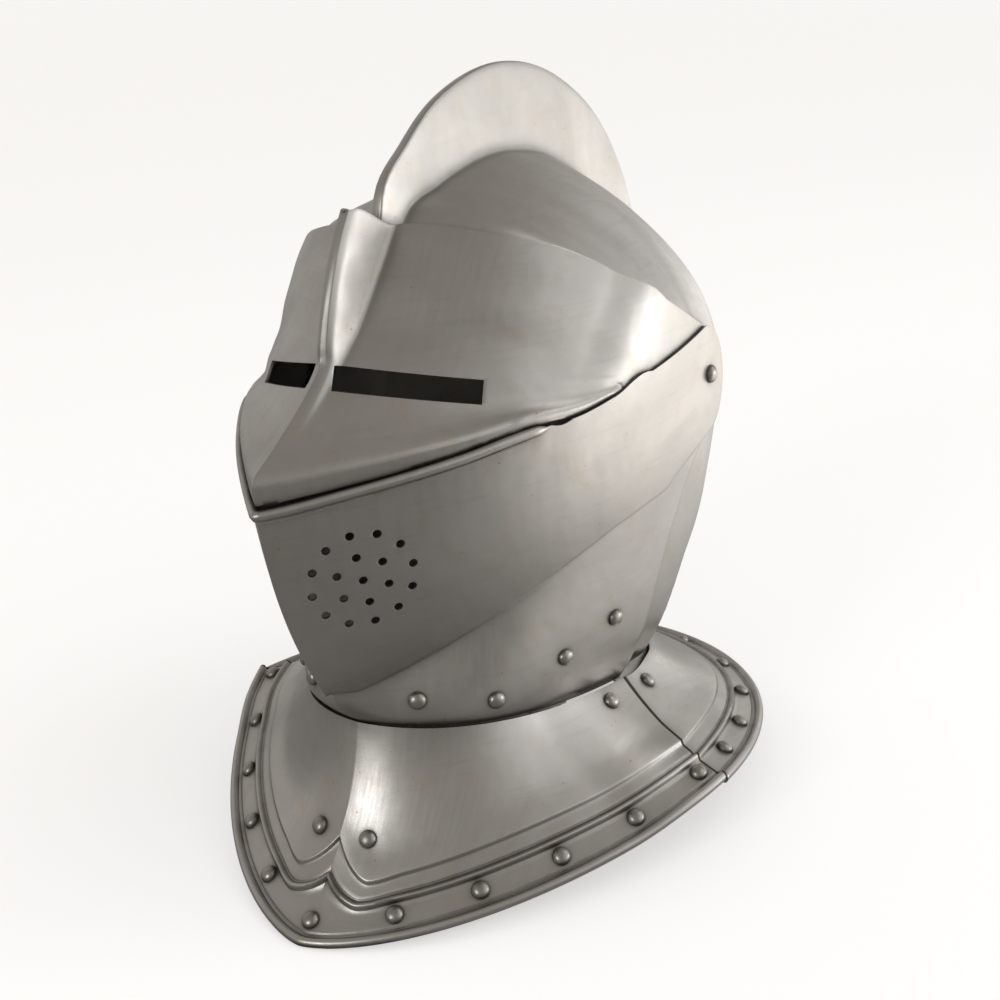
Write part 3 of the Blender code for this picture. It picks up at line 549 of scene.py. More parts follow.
def skull_start(angle):
    """Where the skull's section starts: middle plane, neck or face edge."""
    if angle <= SKULL_NAPE:
        return 0.0
    if angle <= SKULL_CORNER:
        return solve(lambda t: place(SKULL, angle, t).z - NECK_Z, 0.0, 0.75)
    ahead = angle - 360
    return solve(lambda t: section(SKULL, angle, t)[1] - face_edge(ahead), 0.0, 0.99)


def skull_mesh():
    hole_t = t_at_radius(SKULL, 90, PIVOT_HOLE_R)
    outward = 46
    back = steps(BROW, 33, 6) + steps(35, 229, 97) + steps(230.5, SKULL_NAPE - 1.5, 12)
    neck = steps(SKULL_NAPE, SKULL_JOIN, 22) + [SKULL_CORNER]
    face = steps(290, 356, 20) + steps(359, BROW + 360, 26)[:-1]
    grid = []
    for angle in back + neck + face:
        start = skull_start(angle)
        stations = crest_row(SKULL, min(angle, 240.0), CREST_X, hole_t, outward)
        if start > 0:
            stations = [mix(start, hole_t, t / hole_t) for t in stations]
        grid.append([place(SKULL, angle, t) for t in stations])
    edge = [(i, 0) for i in range(len(back), len(back) + len(neck) - 1)]
    lines = flange_lines([1 + (angle - SKULL_JOIN) / (SKULL_NAPE - SKULL_JOIN)
                          for angle in neck[:-1]])
    return grid_mesh("skull", grid, closed=True, flange=(edge, lines))


# ---- gorget ----

def bevor_neck(v):
    """Front neck curve on the bevor: v runs from the middle (0) to the join (1)."""
    t = v * BEVOR_CORNER
    angle = solve(lambda a: place(BEVOR, a, t).z - NECK_Z, -88.0, -40.0)
    return place(BEVOR, angle, t)


def skull_neck(v):
    """Rear neck curve on the skull: v runs from the middle (0) to the join (1)."""
    angle = mix(SKULL_NAPE, SKULL_JOIN, v)
    if v <= 0:
        return place(SKULL, SKULL_NAPE, 0.0)
    t = solve(lambda s: place(SKULL, angle, s).z - NECK_Z, 0.0, 0.75)
    return place(SKULL, angle, t)


def front_rim(v):
    turn = math.radians(RIM_FRONT_TURN) * v
    power = 2 / RIM_FRONT_POINT
    across = math.sin(turn) ** power
    ahead = math.cos(turn) ** power
    y = RIM_FRONT_Y - RIM_FRONT_B * ahead
    z = RIM_FRONT_Z - RIM_FRONT_FALL * RIM_FRONT_B * ahead
    return Vector((RIM_A * across, y, z))


def rear_rim(v):
    turn = math.radians(90) * v
    y = RIM_REAR_Y + RIM_REAR_B * math.cos(turn)
    return Vector((RIM_REAR_A * math.sin(turn), y, RIM_REAR_Z))


def collar_lines(w):
    """Neck edge and rim of the gorget at w.

    w is 0 in front, 1 at the join on the left, 2 behind and 3 or -1 at the join on the right.
    """
    side = 1
    if w < 0:
        w, side = -w, -1
    if w > 2:
        w, side = 4 - w, -1
    near_join = smooth(1 - abs(w - 1), 0.55, 1.0)
    neck_join = bevor_neck(1)
    rim_join = (front_rim(1) + rear_rim(1)) / 2
    if w <= 1:
        neck, rim = bevor_neck(w), front_rim(w)
        neck_end, rim_end = bevor_neck(1), front_rim(1)
    else:
        neck, rim = skull_neck(2 - w), rear_rim(2 - w)
        neck_end, rim_end = skull_neck(1), rear_rim(1)
    neck = neck + (neck_join - neck_end) * near_join
    rim = rim + (rim_join - rim_end) * near_join
    return Vector((side * neck.x, neck.y, neck.z)), Vector((side * rim.x, rim.y, rim.z))


COLLAR_FRAMES = {}        # frames already worked out, by w


def collar_frame(w):
    """The gorget at w: neck edge, slope direction, slope length, normal and hollowness."""
    if w in COLLAR_FRAMES:
        return COLLAR_FRAMES[w]
    neck_before, rim_before = collar_lines(w - 0.02)
    neck_after, rim_after = collar_lines(w + 0.02)
    neck, rim = collar_lines(w)
    along = (neck_after - neck_before + rim_after - rim_before).normalized()
    outward = Vector((along.y, -along.x, 0)).normalized()
    if outward.dot(rim - neck) < 0:
        outward.negate()
    neck = neck + outward * (SHEET + NECK_GAP)
    down = rim - neck
    normal = along.cross(down).normalized()
    if normal.z < 0:
        normal.negate()
    flare = mix(FLARE_FRONT, FLARE_REAR, smooth(2 - abs(2 - abs(w)), 0.3, 1.3))
    COLLAR_FRAMES[w] = neck, down.normalized(), down.length, normal, flare
    return COLLAR_FRAMES[w]


def collar_point(frame, distance, lift):
    """Place on the gorget, a distance down its slope from the neck edge, lifted off its face."""
    neck, down, length, normal, flare = frame
    part = distance / length
    sag = 4 * flare * length * part * (1 - part)
    tilt = 4 * flare * (1 - 2 * part)
    local = (normal + down * tilt).normalized()
    return neck + down * distance - normal * sag + local * lift


def flange_lines(places):
    """Lines of a flange tucked under the gorget, at these values of w from the middle on."""
    lines = [[collar_point(collar_frame(w), down, lift) for w in places] for down, lift in FLANGE]
    for line in lines:
        line[0].x = 0.0
    return lines


def front_lift(w):
    """Height at which the front plate rides over the rear one."""
    return LAP * smooth(w, 0.76, 0.90)


def border_lines(w):
    """Distances in from the rim of the bead and of the ledge, which rise to cusps in front."""
    if abs(w) >= 0.4:
        return STRIP, BORDER
    frame = collar_frame(w)
    aside = abs(collar_point(frame, frame[2] - 0.034, 0).x) * 1.06

    def cusped(line, rise, spread, dip, dip_at, dip_reach):
        peak = rise * max(1 - aside / spread, 0.0) ** 1.5
        return line + peak - dip * bump(aside, dip_at, dip_reach)

    return cusped(STRIP, *BEAD_CUSP), cusped(BORDER, *LEDGE_CUSP)


def relief(inward, bead, ledge):
    """Height of the embossed border, a distance in from the rim."""
    height = -STRIP_SINK - GROOVE * bump(inward, 0.0036, 0.0010)
    height += STRIP_SINK / 2 * smooth(inward, bead, bead + BEAD)
    height += BEAD_H * bump(inward, bead + BEAD / 2, BEAD / 2) ** 0.7
    height -= GROOVE * bump(inward, bead + BEAD + 0.0004, 0.0010)
    height += LEDGE_H * smooth(inward, ledge, ledge + 0.0026)
    height -= LEDGE_EASE * smooth(inward, ledge + 0.003, ledge + 0.018)
    return height


def border_rows(bead, ledge, length):
    """Distances in from the rim at which a ring has its rows, from the roll to the neck."""
    rows = [0.0024, 0.0028, 0.0032, 0.0036, 0.0040, 0.0044, 0.0050]
    rows += steps(0.0050, bead, 4)[1:]
    rows += [bead + BEAD * part for part in (0.06, 0.13, 0.22, 0.36, 0.5, 0.64, 0.78, 0.87, 0.94,
                                             1.0)]
    rows += [bead + BEAD + d for d in (0.0003, 0.0006, 0.0010, 0.0014)]
    rows += steps(bead + BEAD + 0.0014, ledge, 4)[1:]
    rows += [ledge + d for d in (0.0004, 0.0008, 0.0012, 0.0016, 0.0020, 0.0024, 0.0028, 0.0034,
                                 0.0045, 0.0065, 0.009, 0.012)]
    rows += steps(ledge + 0.012, length, 14)[1:]
    return rows


def collar_ring(w, lift, rolled, reach_in=0.0):
    """Closed cross-section of a gorget plate: relief, rolled rim and the plain inner face."""
    frame = collar_frame(w)
    length = frame[2]
    bead, ledge = border_lines(w)
    rows = [max(r, reach_in + 0.0002 * i) for i, r in enumerate(border_rows(bead, ledge, length))]
    ring = [collar_point(frame, length - r, relief(r, bead, ledge) * smooth(length - r, 0, 0.006)
                         + lift) for r in reversed(rows)]
    centre = collar_point(frame, length - reach_in, lift - STRIP_SINK)
    roll = RIM_ROLL if rolled else SHEET / 2
    upward = (collar_point(frame, length, 0.001) - collar_point(frame, length, 0)).normalized()
    outward = (collar_point(frame, length, 0) - collar_point(frame, length - 0.001, 0)).normalized()
    for degrees in range(118, -171, -24):
        turn = math.radians(degrees)
        ring.append(centre + outward * (roll * math.cos(turn)) + upward * (roll * math.sin(turn)))
    inside = [rows[i] for i in range(2, len(rows), 4)]
    if inside[-1] != rows[-1]:
        inside.append(rows[-1])
    for r in inside:
        under = min(relief(r, bead, ledge), 0.0) * smooth(length - r, 0, 0.006)
        ring.append(collar_point(frame, length - r, under + lift - SHEET))
    return ring


def collar_mesh(name, rings):
    """Plate through cross-sections, with nothing of it below the floor."""
    inverse = STAND.inverted()

    def grounded(point):
        standing = STAND @ point
        standing.z = max(standing.z, 0.0)
        return inverse @ standing

    return tube_mesh(name, [[grounded(point) for point in ring] for ring in rings])


def collar_surface(w, below, lapped):
    """Place on the gorget's outer face; below counts from the neck, or up from the rim if < 0."""
    frame = collar_frame(w)
    distance = below if below > 0 else frame[2] + below
    bead, ledge = border_lines(w)
    height = relief(frame[2] - distance, bead, ledge) * smooth(distance, 0, 0.006)
    return collar_point(frame, distance, height + (front_lift(abs(w)) if lapped else 0.0))


def gorget_rivet(w, below, lapped):
    """Frame of a rivet that stands square on the gorget's face, and its twin on the right."""
    point = collar_surface(w, below, lapped)
    down = collar_surface(w, below + 0.003, lapped) - collar_surface(w, below - 0.003, lapped)
    along = collar_surface(w + 0.012, below, lapped) - collar_surface(w - 0.012, below, lapped)
    normal = along.cross(down).normalized()
    if normal.z < 0:
        normal.negate()
    return twins(point, normal)


def border_places(first, last, pitch, count):
    """Values of w at which rivets stand, by stepping along the gorget's border."""
    def border(w):
        frame = collar_frame(w)
        return collar_point(frame, frame[2] - RIM_RIVET_IN, 0)
    places = []
    travelled = 0.0
    point = border(first)
    for w in steps(first, last, 500):
        after = border(w)
        travelled += (after - point).length
        point = after
        if travelled >= pitch * len(places) - 1e-9 and len(places) < count:
            places.append(w)
    return places


def front_gorget_mesh():
    fine = [0.21 * (k / 54) ** 0.765 for k in range(55)]
    values = fine + steps(fine[-1], 1 - 4 * LAP_EDGE, 70)[1:] + [1 - LAP_EDGE, 1.0]
    values = [-w for w in values[:0:-1]] + values
    return collar_mesh("front_gorget", [collar_ring(w, front_lift(abs(w)), True) for w in values])


def paint_edge_shade(mesh, material):
    """Paints shade on the plate's two ends and its edge at the neck, in the dark inside material,
    so they look like a lapped edge in shadow.
    """
    mesh.materials.append(material)
    faces = mesh.polygons
    strip = len(faces[len(faces) - 1].vertices)
    ends = (*range(strip), *range(len(faces) - 2 - strip, len(faces)))
    for index in (*ends, *range(strip - 1, len(faces) - 2, strip)):
        faces[index].material_index = 1


def rear_gorget_mesh():
    near = [0.91, 0.935, 0.96, 0.98, 0.992, 0.998, 1.002, 1.005, 1.008, 1.0105, 1.013, 1.016, 1.022]
    values = near + steps(1.03, 2.97, 150) + [4 - w for w in reversed(near)]

    def ring(w):
        rolled = 1.009 < w < 2.991
        seam = -SEAM_DEPTH * bump(min(w, 4 - w), 1.004, 0.010)
        return collar_ring(w, seam, rolled, 0.0 if rolled else 0.0075)

    return collar_mesh("rear_gorget", [ring(w) for w in values])


# ---- bevor, ventail and visor ----

def bevor_mesh():
    hub_low, hub_high = -84.0, -22.0

    def low(t):
        if t < BEVOR_CORNER:
            return solve(lambda a: place(BEVOR, a, t).z - NECK_Z, -88.0, -40.0)
        return ramp(((BEVOR_CORNER, -80.0), (0.72, -81.0), (STRAP_END, hub_low)), t)

    def high(t):
        return ramp(((0.0, -33.0), (0.55, -32.0), (STRAP_END, hub_high)), t)

    corner = 46
    stations = steps(0, BEVOR_CORNER, corner) + steps(BEVOR_CORNER, STRAP_END, 16)[1:]
    grid = strap(BEVOR, stations, steps(0, 1, 40), low, high, 24)
    last = int(corner * FLANGE_PART)
    edge = [(i, 0) for i in range(last + 1)]
    lines = flange_lines([i / corner for i in range(last + 1)])
    for line in lines:
        for i in range(last - FLANGE_TAPER, last + 1):
            tucked = 1 - 0.96 * smooth(i, last - FLANGE_TAPER, last)
            line[i] = mix(grid[i][0], line[i], tucked)
    return grid_mesh("bevor", grid, flange=(edge, lines))


def bevor_rivets():
    frames = []
    for angle, across in CHIN_RIVETS:
        t = solve(lambda s: section(BEVOR, angle, s)[0] - across, 0.0, 0.8)
        frames += twins(place(BEVOR, angle, t), plate_normal(BEVOR, angle, t))
    return frames


def ventail_edge(t):
    """Upper edge with the small notch behind the end of its roll."""
    return ventail_top(t) - 0.62 * bump(t, 0.572, 0.026) ** 0.6


def ventail_mesh():
    stations = steps(0, 0.10, 12) + steps(0.10, 0.53, 40)[1:] + steps(0.53, 0.62, 24)[1:]
    stations += steps(0.62, STRAP_END, 18)[1:]
    across = steps(0, 0.93, 40) + steps(0.93, 1.0, 14)[1:]
    grid = strap(VENTAIL, stations, across, ventail_foot, ventail_edge, 30)
    for row, t in zip(grid, stations):
        for j, u in enumerate(across):
            below = (1 - u) * VENTAIL_DEPTH
            ridge = RIDGE_H * bump(below, 0.0052, 0.0013) * (1 - smooth(t, 0.48, 0.53))
            if ridge > 0:
                angle = mix(ventail_foot(t), ventail_edge(t), u)
                row[j] = row[j] + plate_normal(VENTAIL, angle, max(t, NEAR_MIDDLE)) * ridge
                if t == 0:
                    row[j].x = 0.0
    return grid_mesh("ventail", grid)


def roll_mesh():
    """Rolled upper edge of the ventail: a tube that tapers to a point at both cheeks."""
    points = []
    for t in steps(0, 0.06, 8) + steps(0.06, ROLL_END, 70)[1:]:
        angle = ventail_top(t) - ROLL_DROP
        normal = plate_normal(VENTAIL, angle, max(t, NEAR_MIDDLE))
        if t == 0:
            normal = Vector((0, normal.y, normal.z)).normalized()
        radius = EDGE_ROLL * (1 - smooth(t, ROLL_END - 0.045, ROLL_END) ** 1.3) + 0.00005
        proud = 0.0004 - 0.0008 * smooth(t, 0.5, ROLL_END)
        points.append((place(VENTAIL, angle, t) + normal * proud, normal, radius))
    points = [(Vector((-p.x, p.y, p.z)), Vector((-n.x, n.y, n.z)), r)
              for p, n, r in points[:0:-1]] + points
    rings = []
    for i, (point, normal, radius) in enumerate(points):
        along = points[min(i + 1, len(points) - 1)][0] - points[max(i - 1, 0)][0]
        along.normalize()
        up = normal.cross(along).normalized()
        out = along.cross(up).normalized()
        turns = [2 * math.pi * k / ROLL_SIDES for k in range(ROLL_SIDES)]
        rings.append([point + out * (radius * math.cos(turn)) + up * (radius * math.sin(turn))
                      for turn in turns])
    return tube_mesh("ventail_roll", rings)


def breaths():
    """On each cheek a ring of twelve breaths, a ring of six and one in the middle."""
    centre = place(VENTAIL, BREATH_ANGLE, BREATH_T)
    normal = plate_normal(VENTAIL, BREATH_ANGLE, BREATH_T)
    up = (place(VENTAIL, BREATH_ANGLE + 1, BREATH_T) - centre).normalized()
    side = up.cross(normal)
    frames = twins(centre, normal)
    for count, radius in ((12, BREATH_RING_R), (6, BREATH_RING_R * 0.52)):
        for k in range(count):
            turn = math.radians(360 * k / count)
            point = centre + up * (radius * math.cos(turn)) + side * (radius * math.sin(turn))
            frames += twins(point, normal)
    return frames


def visor_mesh():
    def low(t):
        return ramp(((0.0, -17.0), (0.55, -14.0), (0.70, -16.0), (STRAP_END, -30.0)), t)

    def high(t):
        return ramp(((0.0, 28.3), (0.05, 32.3), (0.25, 34.0), (0.45, 37.5), (0.65, 41.0),
                     (STRAP_END, 46.0)), t)

    stations = [t_at_x(VISOR, 20, x) if x else 0.0 for x in KEEL_X]
    stations += steps(stations[-1], STRAP_END, 62)[1:]
    grid = strap(VISOR, stations, steps(0, 1, 84), low, high, 26)
    return grid_mesh("visor", grid)


def sight_boxes():
    """Frames of the two boxes that cut the sights, each run outward along its slot."""
    boxes = []
    for side in (1, -1):
        mirror = Matrix.Diagonal((side, 1, 1))
        inner, outer = mirror @ Vector(SIGHT_INNER), mirror @ Vector(SIGHT_OUTER)
        run = outer - inner
        depth = Vector((0, 0, 1)).cross(run).normalized()
        rise = run.normalized().cross(depth)
        axes = Matrix((run.normalized(), depth, rise)).transposed().to_4x4()
        sizes = Matrix.Diagonal((run.length, SIGHT_DEPTH, SIGHT_HEIGHT, 1))
        boxes.append(Matrix.Translation((inner + outer) / 2) @ axes @ sizes)
    return boxes


# ---- rivets ----

def dome_mesh(name, radius, height, skirt=0.0006, sides=28):
    """Turned rivet head, a little flattened on top, with a short skirt sunk into the plate."""
    profile = [(0.0, height)]
    for k in range(1, 10):
        turn = math.radians(90 * k / 9)
        profile.append((radius * math.sin(turn) ** 0.92, height * math.cos(turn) ** 0.85))
    profile += [(radius * 0.985, -skirt), (0.0, -skirt)]
    bm = bmesh.new()
    verts = [bm.verts.new((r, 0, z)) for r, z in profile]
    edges = [bm.edges.new(pair) for pair in zip(verts, verts[1:])]
    bmesh.ops.spin(bm, geom=verts + edges, cent=(0, 0, 0), axis=(0, 0, 1),
                   angle=math.radians(360), steps=sides, use_merge=True)
    bmesh.ops.remove_doubles(bm, verts=bm.verts, dist=1e-6)
    bmesh.ops.recalc_face_normals(bm, faces=bm.faces)
    return mesh_of(bm, name)


def add_rivets(prefix, frames, material, body):
    """Rivet heads that stand for the CAD nodes prefix_1, prefix_2 and so on."""
    for number, frame in enumerate(frames, 1):
        name = f"{prefix}_{number}"
        mesh = dome_mesh(name, RIVET_R, RIVET_H)
        mesh.transform(frame)
        add_piece("head_" + name, mesh, material, body, [name])


# ---- materials ----

class Nodes:
    """Short way to write the node tree of a material or of the world."""

    def __init__(self, block):
        self.block = block
        block.use_nodes = True
        self.tree = block.node_tree
        self.shader = self.tree.nodes.get("Principled BSDF")

    def add(self, kind, inputs=(), **values):
        node = self.tree.nodes.new("ShaderNode" + kind)
        for name, value in values.items():
            setattr(node, name, value)
        for key, value in dict(inputs).items():
            self.set(node.inputs[key], value)
        return node

    def set(self, socket, value):
        if isinstance(value, bpy.types.NodeSocket):
            self.tree.links.new(value, socket)
        else:
            socket.default_value = value

    def noise(self, coords, scale, detail=3.0, rough=0.55, distortion=0.0):
        node = self.add("TexNoise", {"Vector": coords, "Scale": scale, "Detail": detail,
                                     "Roughness": rough, "Distortion": distortion})
        return node.outputs["Fac"]

    def remap(self, value, low, high, to_low, to_high):
        node = self.add("MapRange", {0: value, 1: low, 2: high, 3: to_low, 4: to_high})
        return node.outputs[0]

    def math(self, operation, a, b):
        return self.add("Math", {0: a, 1: b}, operation=operation).outputs[0]

    def blend(self, part, a, b):
        node = self.add("Mix", data_type="RGBA")
        self.set(node.inputs[0], part)
        self.set(node.inputs[6], a)
        self.set(node.inputs[7], b)
        return node.outputs[2]


RUST = (0.12, 0.085, 0.06, 1)
# Colour of the painted shade in corners, creases and the steps between plates
CORNER_SHADE = (0.040, 0.031, 0.024, 1)


def steel(name, colour, roughness, corner_shade_strength=1.0, wear=1.0, shade_reach=0.0065):
    """Old polished steel: satin, faintly mottled and scratched, with painted shade darkening its
    corners and creases.
    """
    n = Nodes(bpy.data.materials.new(name))
    coords = n.add("TexCoord").outputs["Object"]
    streaks = n.add("Mapping", {"Vector": coords, "Rotation": (0.35, 0.25, 0.6),
                                "Scale": (28.0, 30.0, 420.0)}).outputs[0]
    across = n.add("Mapping", {"Vector": coords, "Rotation": (0.9, -0.5, 0.2),
                               "Scale": (520.0, 36.0, 40.0)}).outputs[0]
    cloud = n.noise(coords, 16.0, 5.0, 0.6, 0.6)
    mottle = n.noise(coords, 70.0, 6.0, 0.62, 0.4)
    grain = n.noise(coords, 900.0, 3.0, 0.6)
    brush = n.noise(streaks, 1.0, 4.0, 0.6, 0.2)
    brush2 = n.noise(across, 1.0, 4.0, 0.6, 0.2)
    pits = n.add("TexVoronoi", {"Vector": coords, "Scale": 260.0, "Randomness": 1.0})
    spots = n.math("MULTIPLY", n.remap(pits.outputs["Distance"], 0.05, 0.16, 1.0, 0.0),
                   n.remap(mottle, 0.56, 0.66, 0.0, 1.0))
    # Painted shade: ambient occlusion darkens corners, creases and the steps between plates,
    # mottled in strength, and roughens them
    corner = n.add("AmbientOcclusion", {"Distance": shade_reach}, samples=6)
    painted_corner_shade = n.math("MULTIPLY", n.remap(corner.outputs["AO"], 0.55, 0.97, 1.0, 0.0),
                   n.remap(mottle, 0.30, 0.62, 0.65, 1.0))

    dark = tuple(c * 0.80 for c in colour)
    warm = (colour[0] * 0.93, colour[1] * 0.88, colour[2] * 0.80)
    base = n.blend(n.remap(cloud, 0.35, 0.68, 0.0, 0.75), (*colour, 1), (*dark, 1))
    base = n.blend(n.remap(mottle, 0.52, 0.72, 0.0, 0.7 * wear), base, (*warm, 1))
    base = n.blend(n.remap(brush, 0.55, 0.75, 0.0, 0.30), base, (*[c * 0.72 for c in colour], 1))
    base = n.blend(n.math("MULTIPLY", spots, 0.75 * wear), base, RUST)
    base = n.blend(n.math("MULTIPLY", painted_corner_shade, 0.84 * corner_shade_strength), base, CORNER_SHADE)
    n.set(n.shader.inputs["Base Color"], base)
    n.shader.inputs["Metallic"].default_value = 1.0

    rough = n.remap(cloud, 0.3, 0.7, roughness - 0.05, roughness + 0.07)
    rough = n.math("ADD", rough, n.remap(brush2, 0.35, 0.75, -0.03, 0.06))
    rough = n.math("ADD", rough, n.math("MULTIPLY", spots, 0.25))
    rough = n.math("ADD", rough, n.math("MULTIPLY", painted_corner_shade, 0.22))
    n.set(n.shader.inputs["Roughness"], rough)

    height = n.math("ADD", n.math("MULTIPLY", grain, 0.25), n.math("MULTIPLY", brush, 0.5))
    height = n.math("ADD", height, n.math("MULTIPLY", brush2, 0.4))
    height = n.math("SUBTRACT", height, n.math("MULTIPLY", spots, 1.2))
    fine = n.add("Bump", {"Height": height, "Strength": 0.10, "Distance": 0.0004})
    dents = n.noise(coords, 34.0, 2.0, 0.5)
    broad = n.add("Bump", {"Height": dents, "Strength": 0.16, "Distance": 0.0030,
                           "Normal": fine.outputs[0]})
    n.set(n.shader.inputs["Normal"], broad.outputs[0])
    return n.block


def inside_and_lap_shade_material():
    """Dark, rough, rusty inside of the plates; it is also used as painted shade on the front
    gorget's ends and neck edge.
    """
    n = Nodes(bpy.data.materials.new("dark_inside_lap_shade"))
    coords = n.add("TexCoord").outputs["Object"]
    mottle = n.noise(coords, 60.0, 5.0, 0.6)
    base = n.blend(n.remap(mottle, 0.35, 0.65, 0.0, 1.0), (0.030, 0.024, 0.020, 1),
                   (0.060, 0.044, 0.034, 1))
    n.set(n.shader.inputs["Base Color"], base)
    n.set(n.shader.inputs["Roughness"], n.remap(mottle, 0.3, 0.7, 0.65, 0.85))
    n.shader.inputs["Metallic"].default_value = 0.4
    bumps = n.add("Bump", {"Height": mottle, "Strength": 0.3, "Distance": 0.001})
    n.set(n.shader.inputs["Normal"], bumps.outputs[0])
    return n.block


# ---- floor, light and camera ----

def floor():
    """Pale floor that glows, evenly for the camera; in the steel's reflections its painted glow is
    dim in front and bright on the left and behind.
    """
    bm = bmesh.new()
    bmesh.ops.create_grid(bm, x_segments=1, y_segments=1, size=150.0)
    mesh = mesh_of(bm, "floor")
    obj = bpy.data.objects.new("floor", mesh)
    obj.location = (0, 0, -0.0002)
    bpy.context.scene.collection.objects.link(obj)
    n = Nodes(bpy.data.materials.new("pale_floor"))
    n.shader.inputs["Base Color"].default_value = (0.80, 0.80, 0.80, 1)
    n.shader.inputs["Roughness"].default_value = 0.9
    n.shader.inputs["Emission Color"].default_value = (1, 1, 1, 1)
    n.shader.inputs["Emission Strength"].default_value = 0.50
    # Painted light: rays other than the camera's see the floor as a glowing patch, bright on the +x
    # side and behind, dim in front
    parts = n.add("SeparateXYZ", {0: n.add("TexCoord").outputs["Object"]})
    x, y = parts.outputs["X"], parts.outputs["Y"]
    side = n.math("ADD", n.math("MULTIPLY", x, 0.95), n.math("MULTIPLY", y, 0.30))
    lit = n.math("MULTIPLY", n.remap(side, 0.10, 0.50, 0.0, 1.45),
                 n.remap(y, -0.25, 0.05, 0.0, 1.0))
    glow = n.math("ADD", lit, n.remap(y, 0.10, 0.40, 0.26, 0.46))
    glow_seen_in_reflections = n.add("Emission", {"Color": (1.0, 0.965, 0.92, 1), "Strength": glow})
    seen = n.add("LightPath").outputs["Is Camera Ray"]
    both = n.add("MixShader", {0: seen, 1: glow_seen_in_reflections.outputs[0], 2: n.shader.outputs[0]})
    n.tree.links.new(both.outputs[0], n.tree.nodes["Material Output"].inputs["Surface"])
    mesh.materials.append(n.block)


def softbox(name, direction, distance, size, radiance):
    """Rectangular light aimed at the helmet, with its brightness as the steel mirrors it."""
    middle = Vector((0, 0, 0.2))
    light = bpy.data.lights.new(name, "AREA")
    light.shape = "RECTANGLE"
    light.size, light.size_y = size
    light.energy = radiance * math.pi * size[0] * size[1]
    obj = bpy.data.objects.new(name, light)
    obj.location = middle + Vector(direction).normalized() * distance
    obj.rotation_euler = (middle - obj.location).to_track_quat("-Z", "Y").to_euler()
    obj.visible_camera = False
    bpy.context.scene.collection.objects.link(obj)


# Brighter sides of the room: direction, the cosines between which it brightens, and how much
LOBES = (((0.90, 0.30, 0.35), 0.62, 0.95, 0.65),
         ((0.15, 0.98, 0.10), 0.84, 1.0, 0.55),
         ((-0.95, 0.30, 0.10), 0.5, 1.0, 0.20))
ROOM = 0.40               # brightness of the rest of it


def studio():
    """Dim warm room, brighter on the helmet's left, with soft boxes in front, beside and above."""
    world = bpy.data.worlds.new("studio")
    bpy.context.scene.world = world
    n = Nodes(world)
    coords = n.add("TexCoord").outputs["Generated"]
    lit = ROOM
    for direction, low, high, strength in LOBES:
        toward = n.add("VectorMath", {0: coords, 1: Vector(direction).normalized()},
                       operation="DOT_PRODUCT")
        part = n.add("MapRange", {0: toward.outputs["Value"], 1: low, 2: high, 3: 0.0,
                                  4: strength}, interpolation_type="SMOOTHSTEP")
        lit = n.math("ADD", lit, part.outputs[0])
    warmth = n.add("ValToRGB", {0: lit})
    dim, bright = warmth.color_ramp.elements
    dim.position, dim.color = 0.3, (1.0, 0.93, 0.85, 1)
    bright.position, bright.color = 1.0, (1.0, 0.99, 0.98, 1)
    back = n.tree.nodes["Background"]
    n.set(back.inputs["Color"], warmth.outputs[0])
    n.set(back.inputs["Strength"], lit)
    softbox("front", (-0.16, -0.94, 0.31), 2.0, (0.70, 0.80), 4.6)
    softbox("left_window", (0.88, 0.45, 0.03), 1.7, (0.85, 0.8), 2.6)
    softbox("top", (0.50, 0.42, 0.78), 2.2, (0.8, 0.8), 1.0)
    bpy.context.scene.view_settings.view_transform = "Standard"


def camera():
    data = bpy.data.cameras.new("camera")
    data.lens = CAMERA_LENS
    data.sensor_width = 36.0
    data.clip_start = 0.01
    data.clip_end = 100.0
    obj = bpy.data.objects.new("camera", data)
    bpy.context.scene.collection.objects.link(obj)
    ahead = CAMERA_AHEAD.normalized()
    right = ahead.cross(Vector((0, 0, 1))).normalized()
    up = right.cross(ahead)
    roll = math.radians(CAMERA_ROLL)
    turned = right * math.cos(roll) + up * math.sin(roll)
    risen = up * math.cos(roll) - right * math.sin(roll)
    obj.matrix_world = (Matrix.Translation(CAMERA_PLACE)
                        @ Matrix((turned, risen, -ahead)).transposed().to_4x4())
    bpy.context.scene.camera = obj


# ---- assembly ----

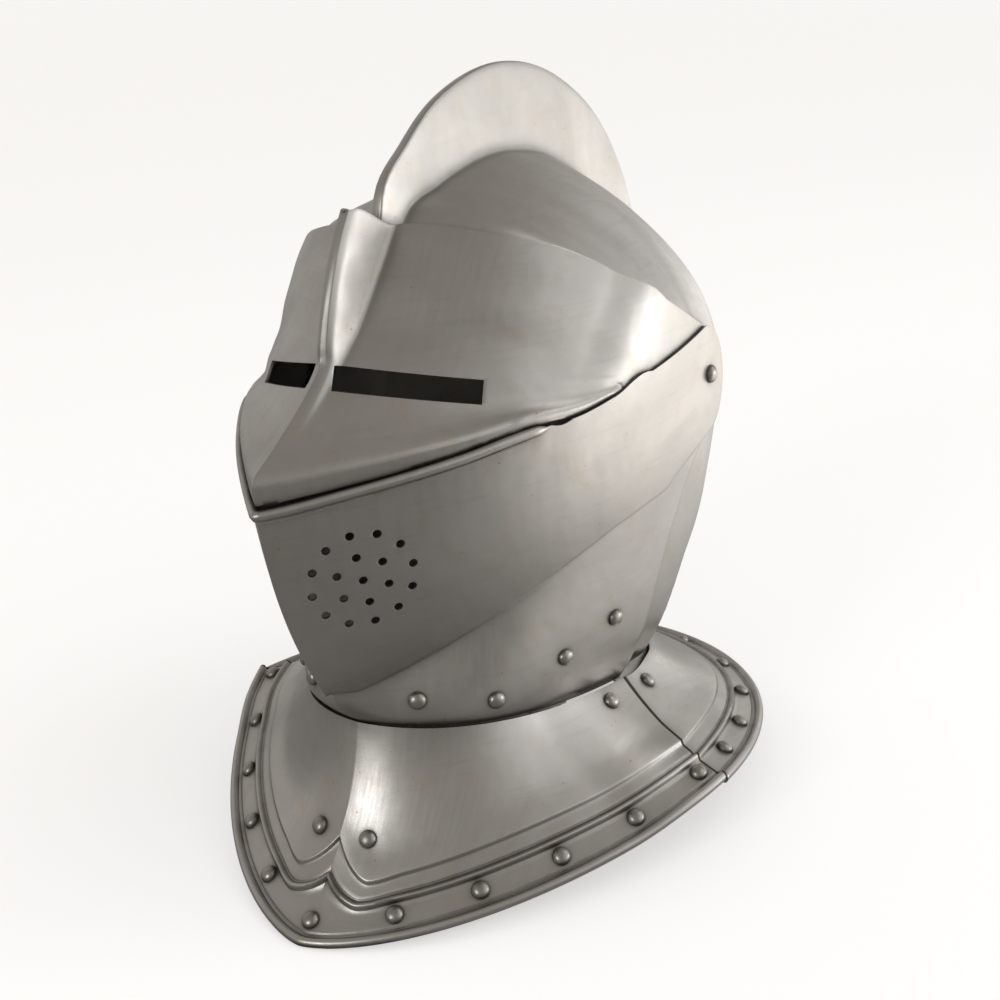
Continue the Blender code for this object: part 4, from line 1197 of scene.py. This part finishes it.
def main():
    for old in list(bpy.data.objects):
        bpy.data.objects.remove(old, do_unlink=True)
    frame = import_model()

    polished = steel("polished_steel", (0.47, 0.455, 0.435), 0.35)
    face = steel("face_steel", (0.45, 0.435, 0.415), 0.36)
    gorget = steel("gorget_steel", (0.50, 0.485, 0.465), 0.33, 1.15, 1.0, 0.0095)
    dark = steel("dark_steel", (0.36, 0.345, 0.325), 0.32, 1.0, 1.2)
    inside = inside_and_lap_shade_material()

    pivots = twins(Vector((VISOR_W, 0, 0)), Vector((1, 0, 0)))
    pivot_pins = [(f, PIVOT_HOLE_R, 0.03, 24) for f in pivots]

    shells = (
        ("skull_shell", skull_mesh, polished, "skull_body", "polished_steel", "skull", [], []),
        ("bevor_shell", bevor_mesh, polished, "bevor_body", "polished_steel", "bevor",
         pivot_pins, []),
        ("ventail_shell", ventail_mesh, face, "ventail_body", "face_steel", "ventail",
         pivot_pins + [(f, BREATH_R, 0.012, 20) for f in breaths()], []),
        ("visor_shell", visor_mesh, face, "visor_body", "face_steel", "visor", pivot_pins,
         sight_boxes()),
    )
    for name, build, material, body, slot, node, pins, boxes in shells:
        obj = add_piece(name, build(), material, body, [node])
        obj.data.materials.append(inside)
        cutter = cutter_of(name + "_cutter", pins, boxes) if pins or boxes else None
        finish_shell(obj, cutter)
    add_piece("ventail_roll", roll_mesh(), face, "ventail_body", [])

    for name, mesh, body in (("front_gorget", front_gorget_mesh(), "bevor_body"),
                             ("rear_gorget", rear_gorget_mesh(), "skull_body")):
        obj = add_piece(name + "_plate", mesh, gorget, body, [name])
        obj.data.set_sharp_from_angle(angle=math.radians(50))
        if name == "front_gorget":
            paint_edge_shade(obj.data, inside)

    add_rivets("chin_rivet", bevor_rivets(), dark, "bevor_body")
    clenched = gorget_rivet(0.15, -0.048, True)
    lapped = gorget_rivet(FRONT_NECK_RIVET, NECK_RIVET_DROP, True)
    for w in border_places(0.0, 1.0, RIM_RIVET_PITCH, 6):
        frames = gorget_rivet(w, -RIM_RIVET_IN, True)
        if front_lift(w) < LAP:
            clenched += frames
        else:
            lapped += frames
    add_rivets("front_gorget_rivet", clenched, dark, "bevor_body")
    add_rivets("front_lap_rivet", lapped, dark, "bevor_body")
    rear = []
    for w in border_places(2.0, 1.1, REAR_RIVET_PITCH, 5) + [1.10]:
        rear += gorget_rivet(w, -RIM_RIVET_IN, False)
    rear += gorget_rivet(REAR_NECK_RIVET, NECK_RIVET_DROP, False)
    add_rivets("rear_gorget_rivet", rear, dark, "skull_body")

    for side, name in ((1, "left"), (-1, "right")):
        outward = Vector((side, 0, 0))
        mesh = dome_mesh(f"pivot_{name}", PIVOT_R, PIVOT_H, 0.004)
        mesh.transform(facing(outward * VENTAIL_W, outward))
        add_piece(f"head_pivot_{name}", mesh, dark, "skull_body",
                  [f"pivot_pin_{name}"])
        washer = frame["nodes"][f"pivot_washer_{name}"]
        washer.data.materials.clear()
        washer.data.materials.append(dark)

    floor()
    studio()
    camera()


main()
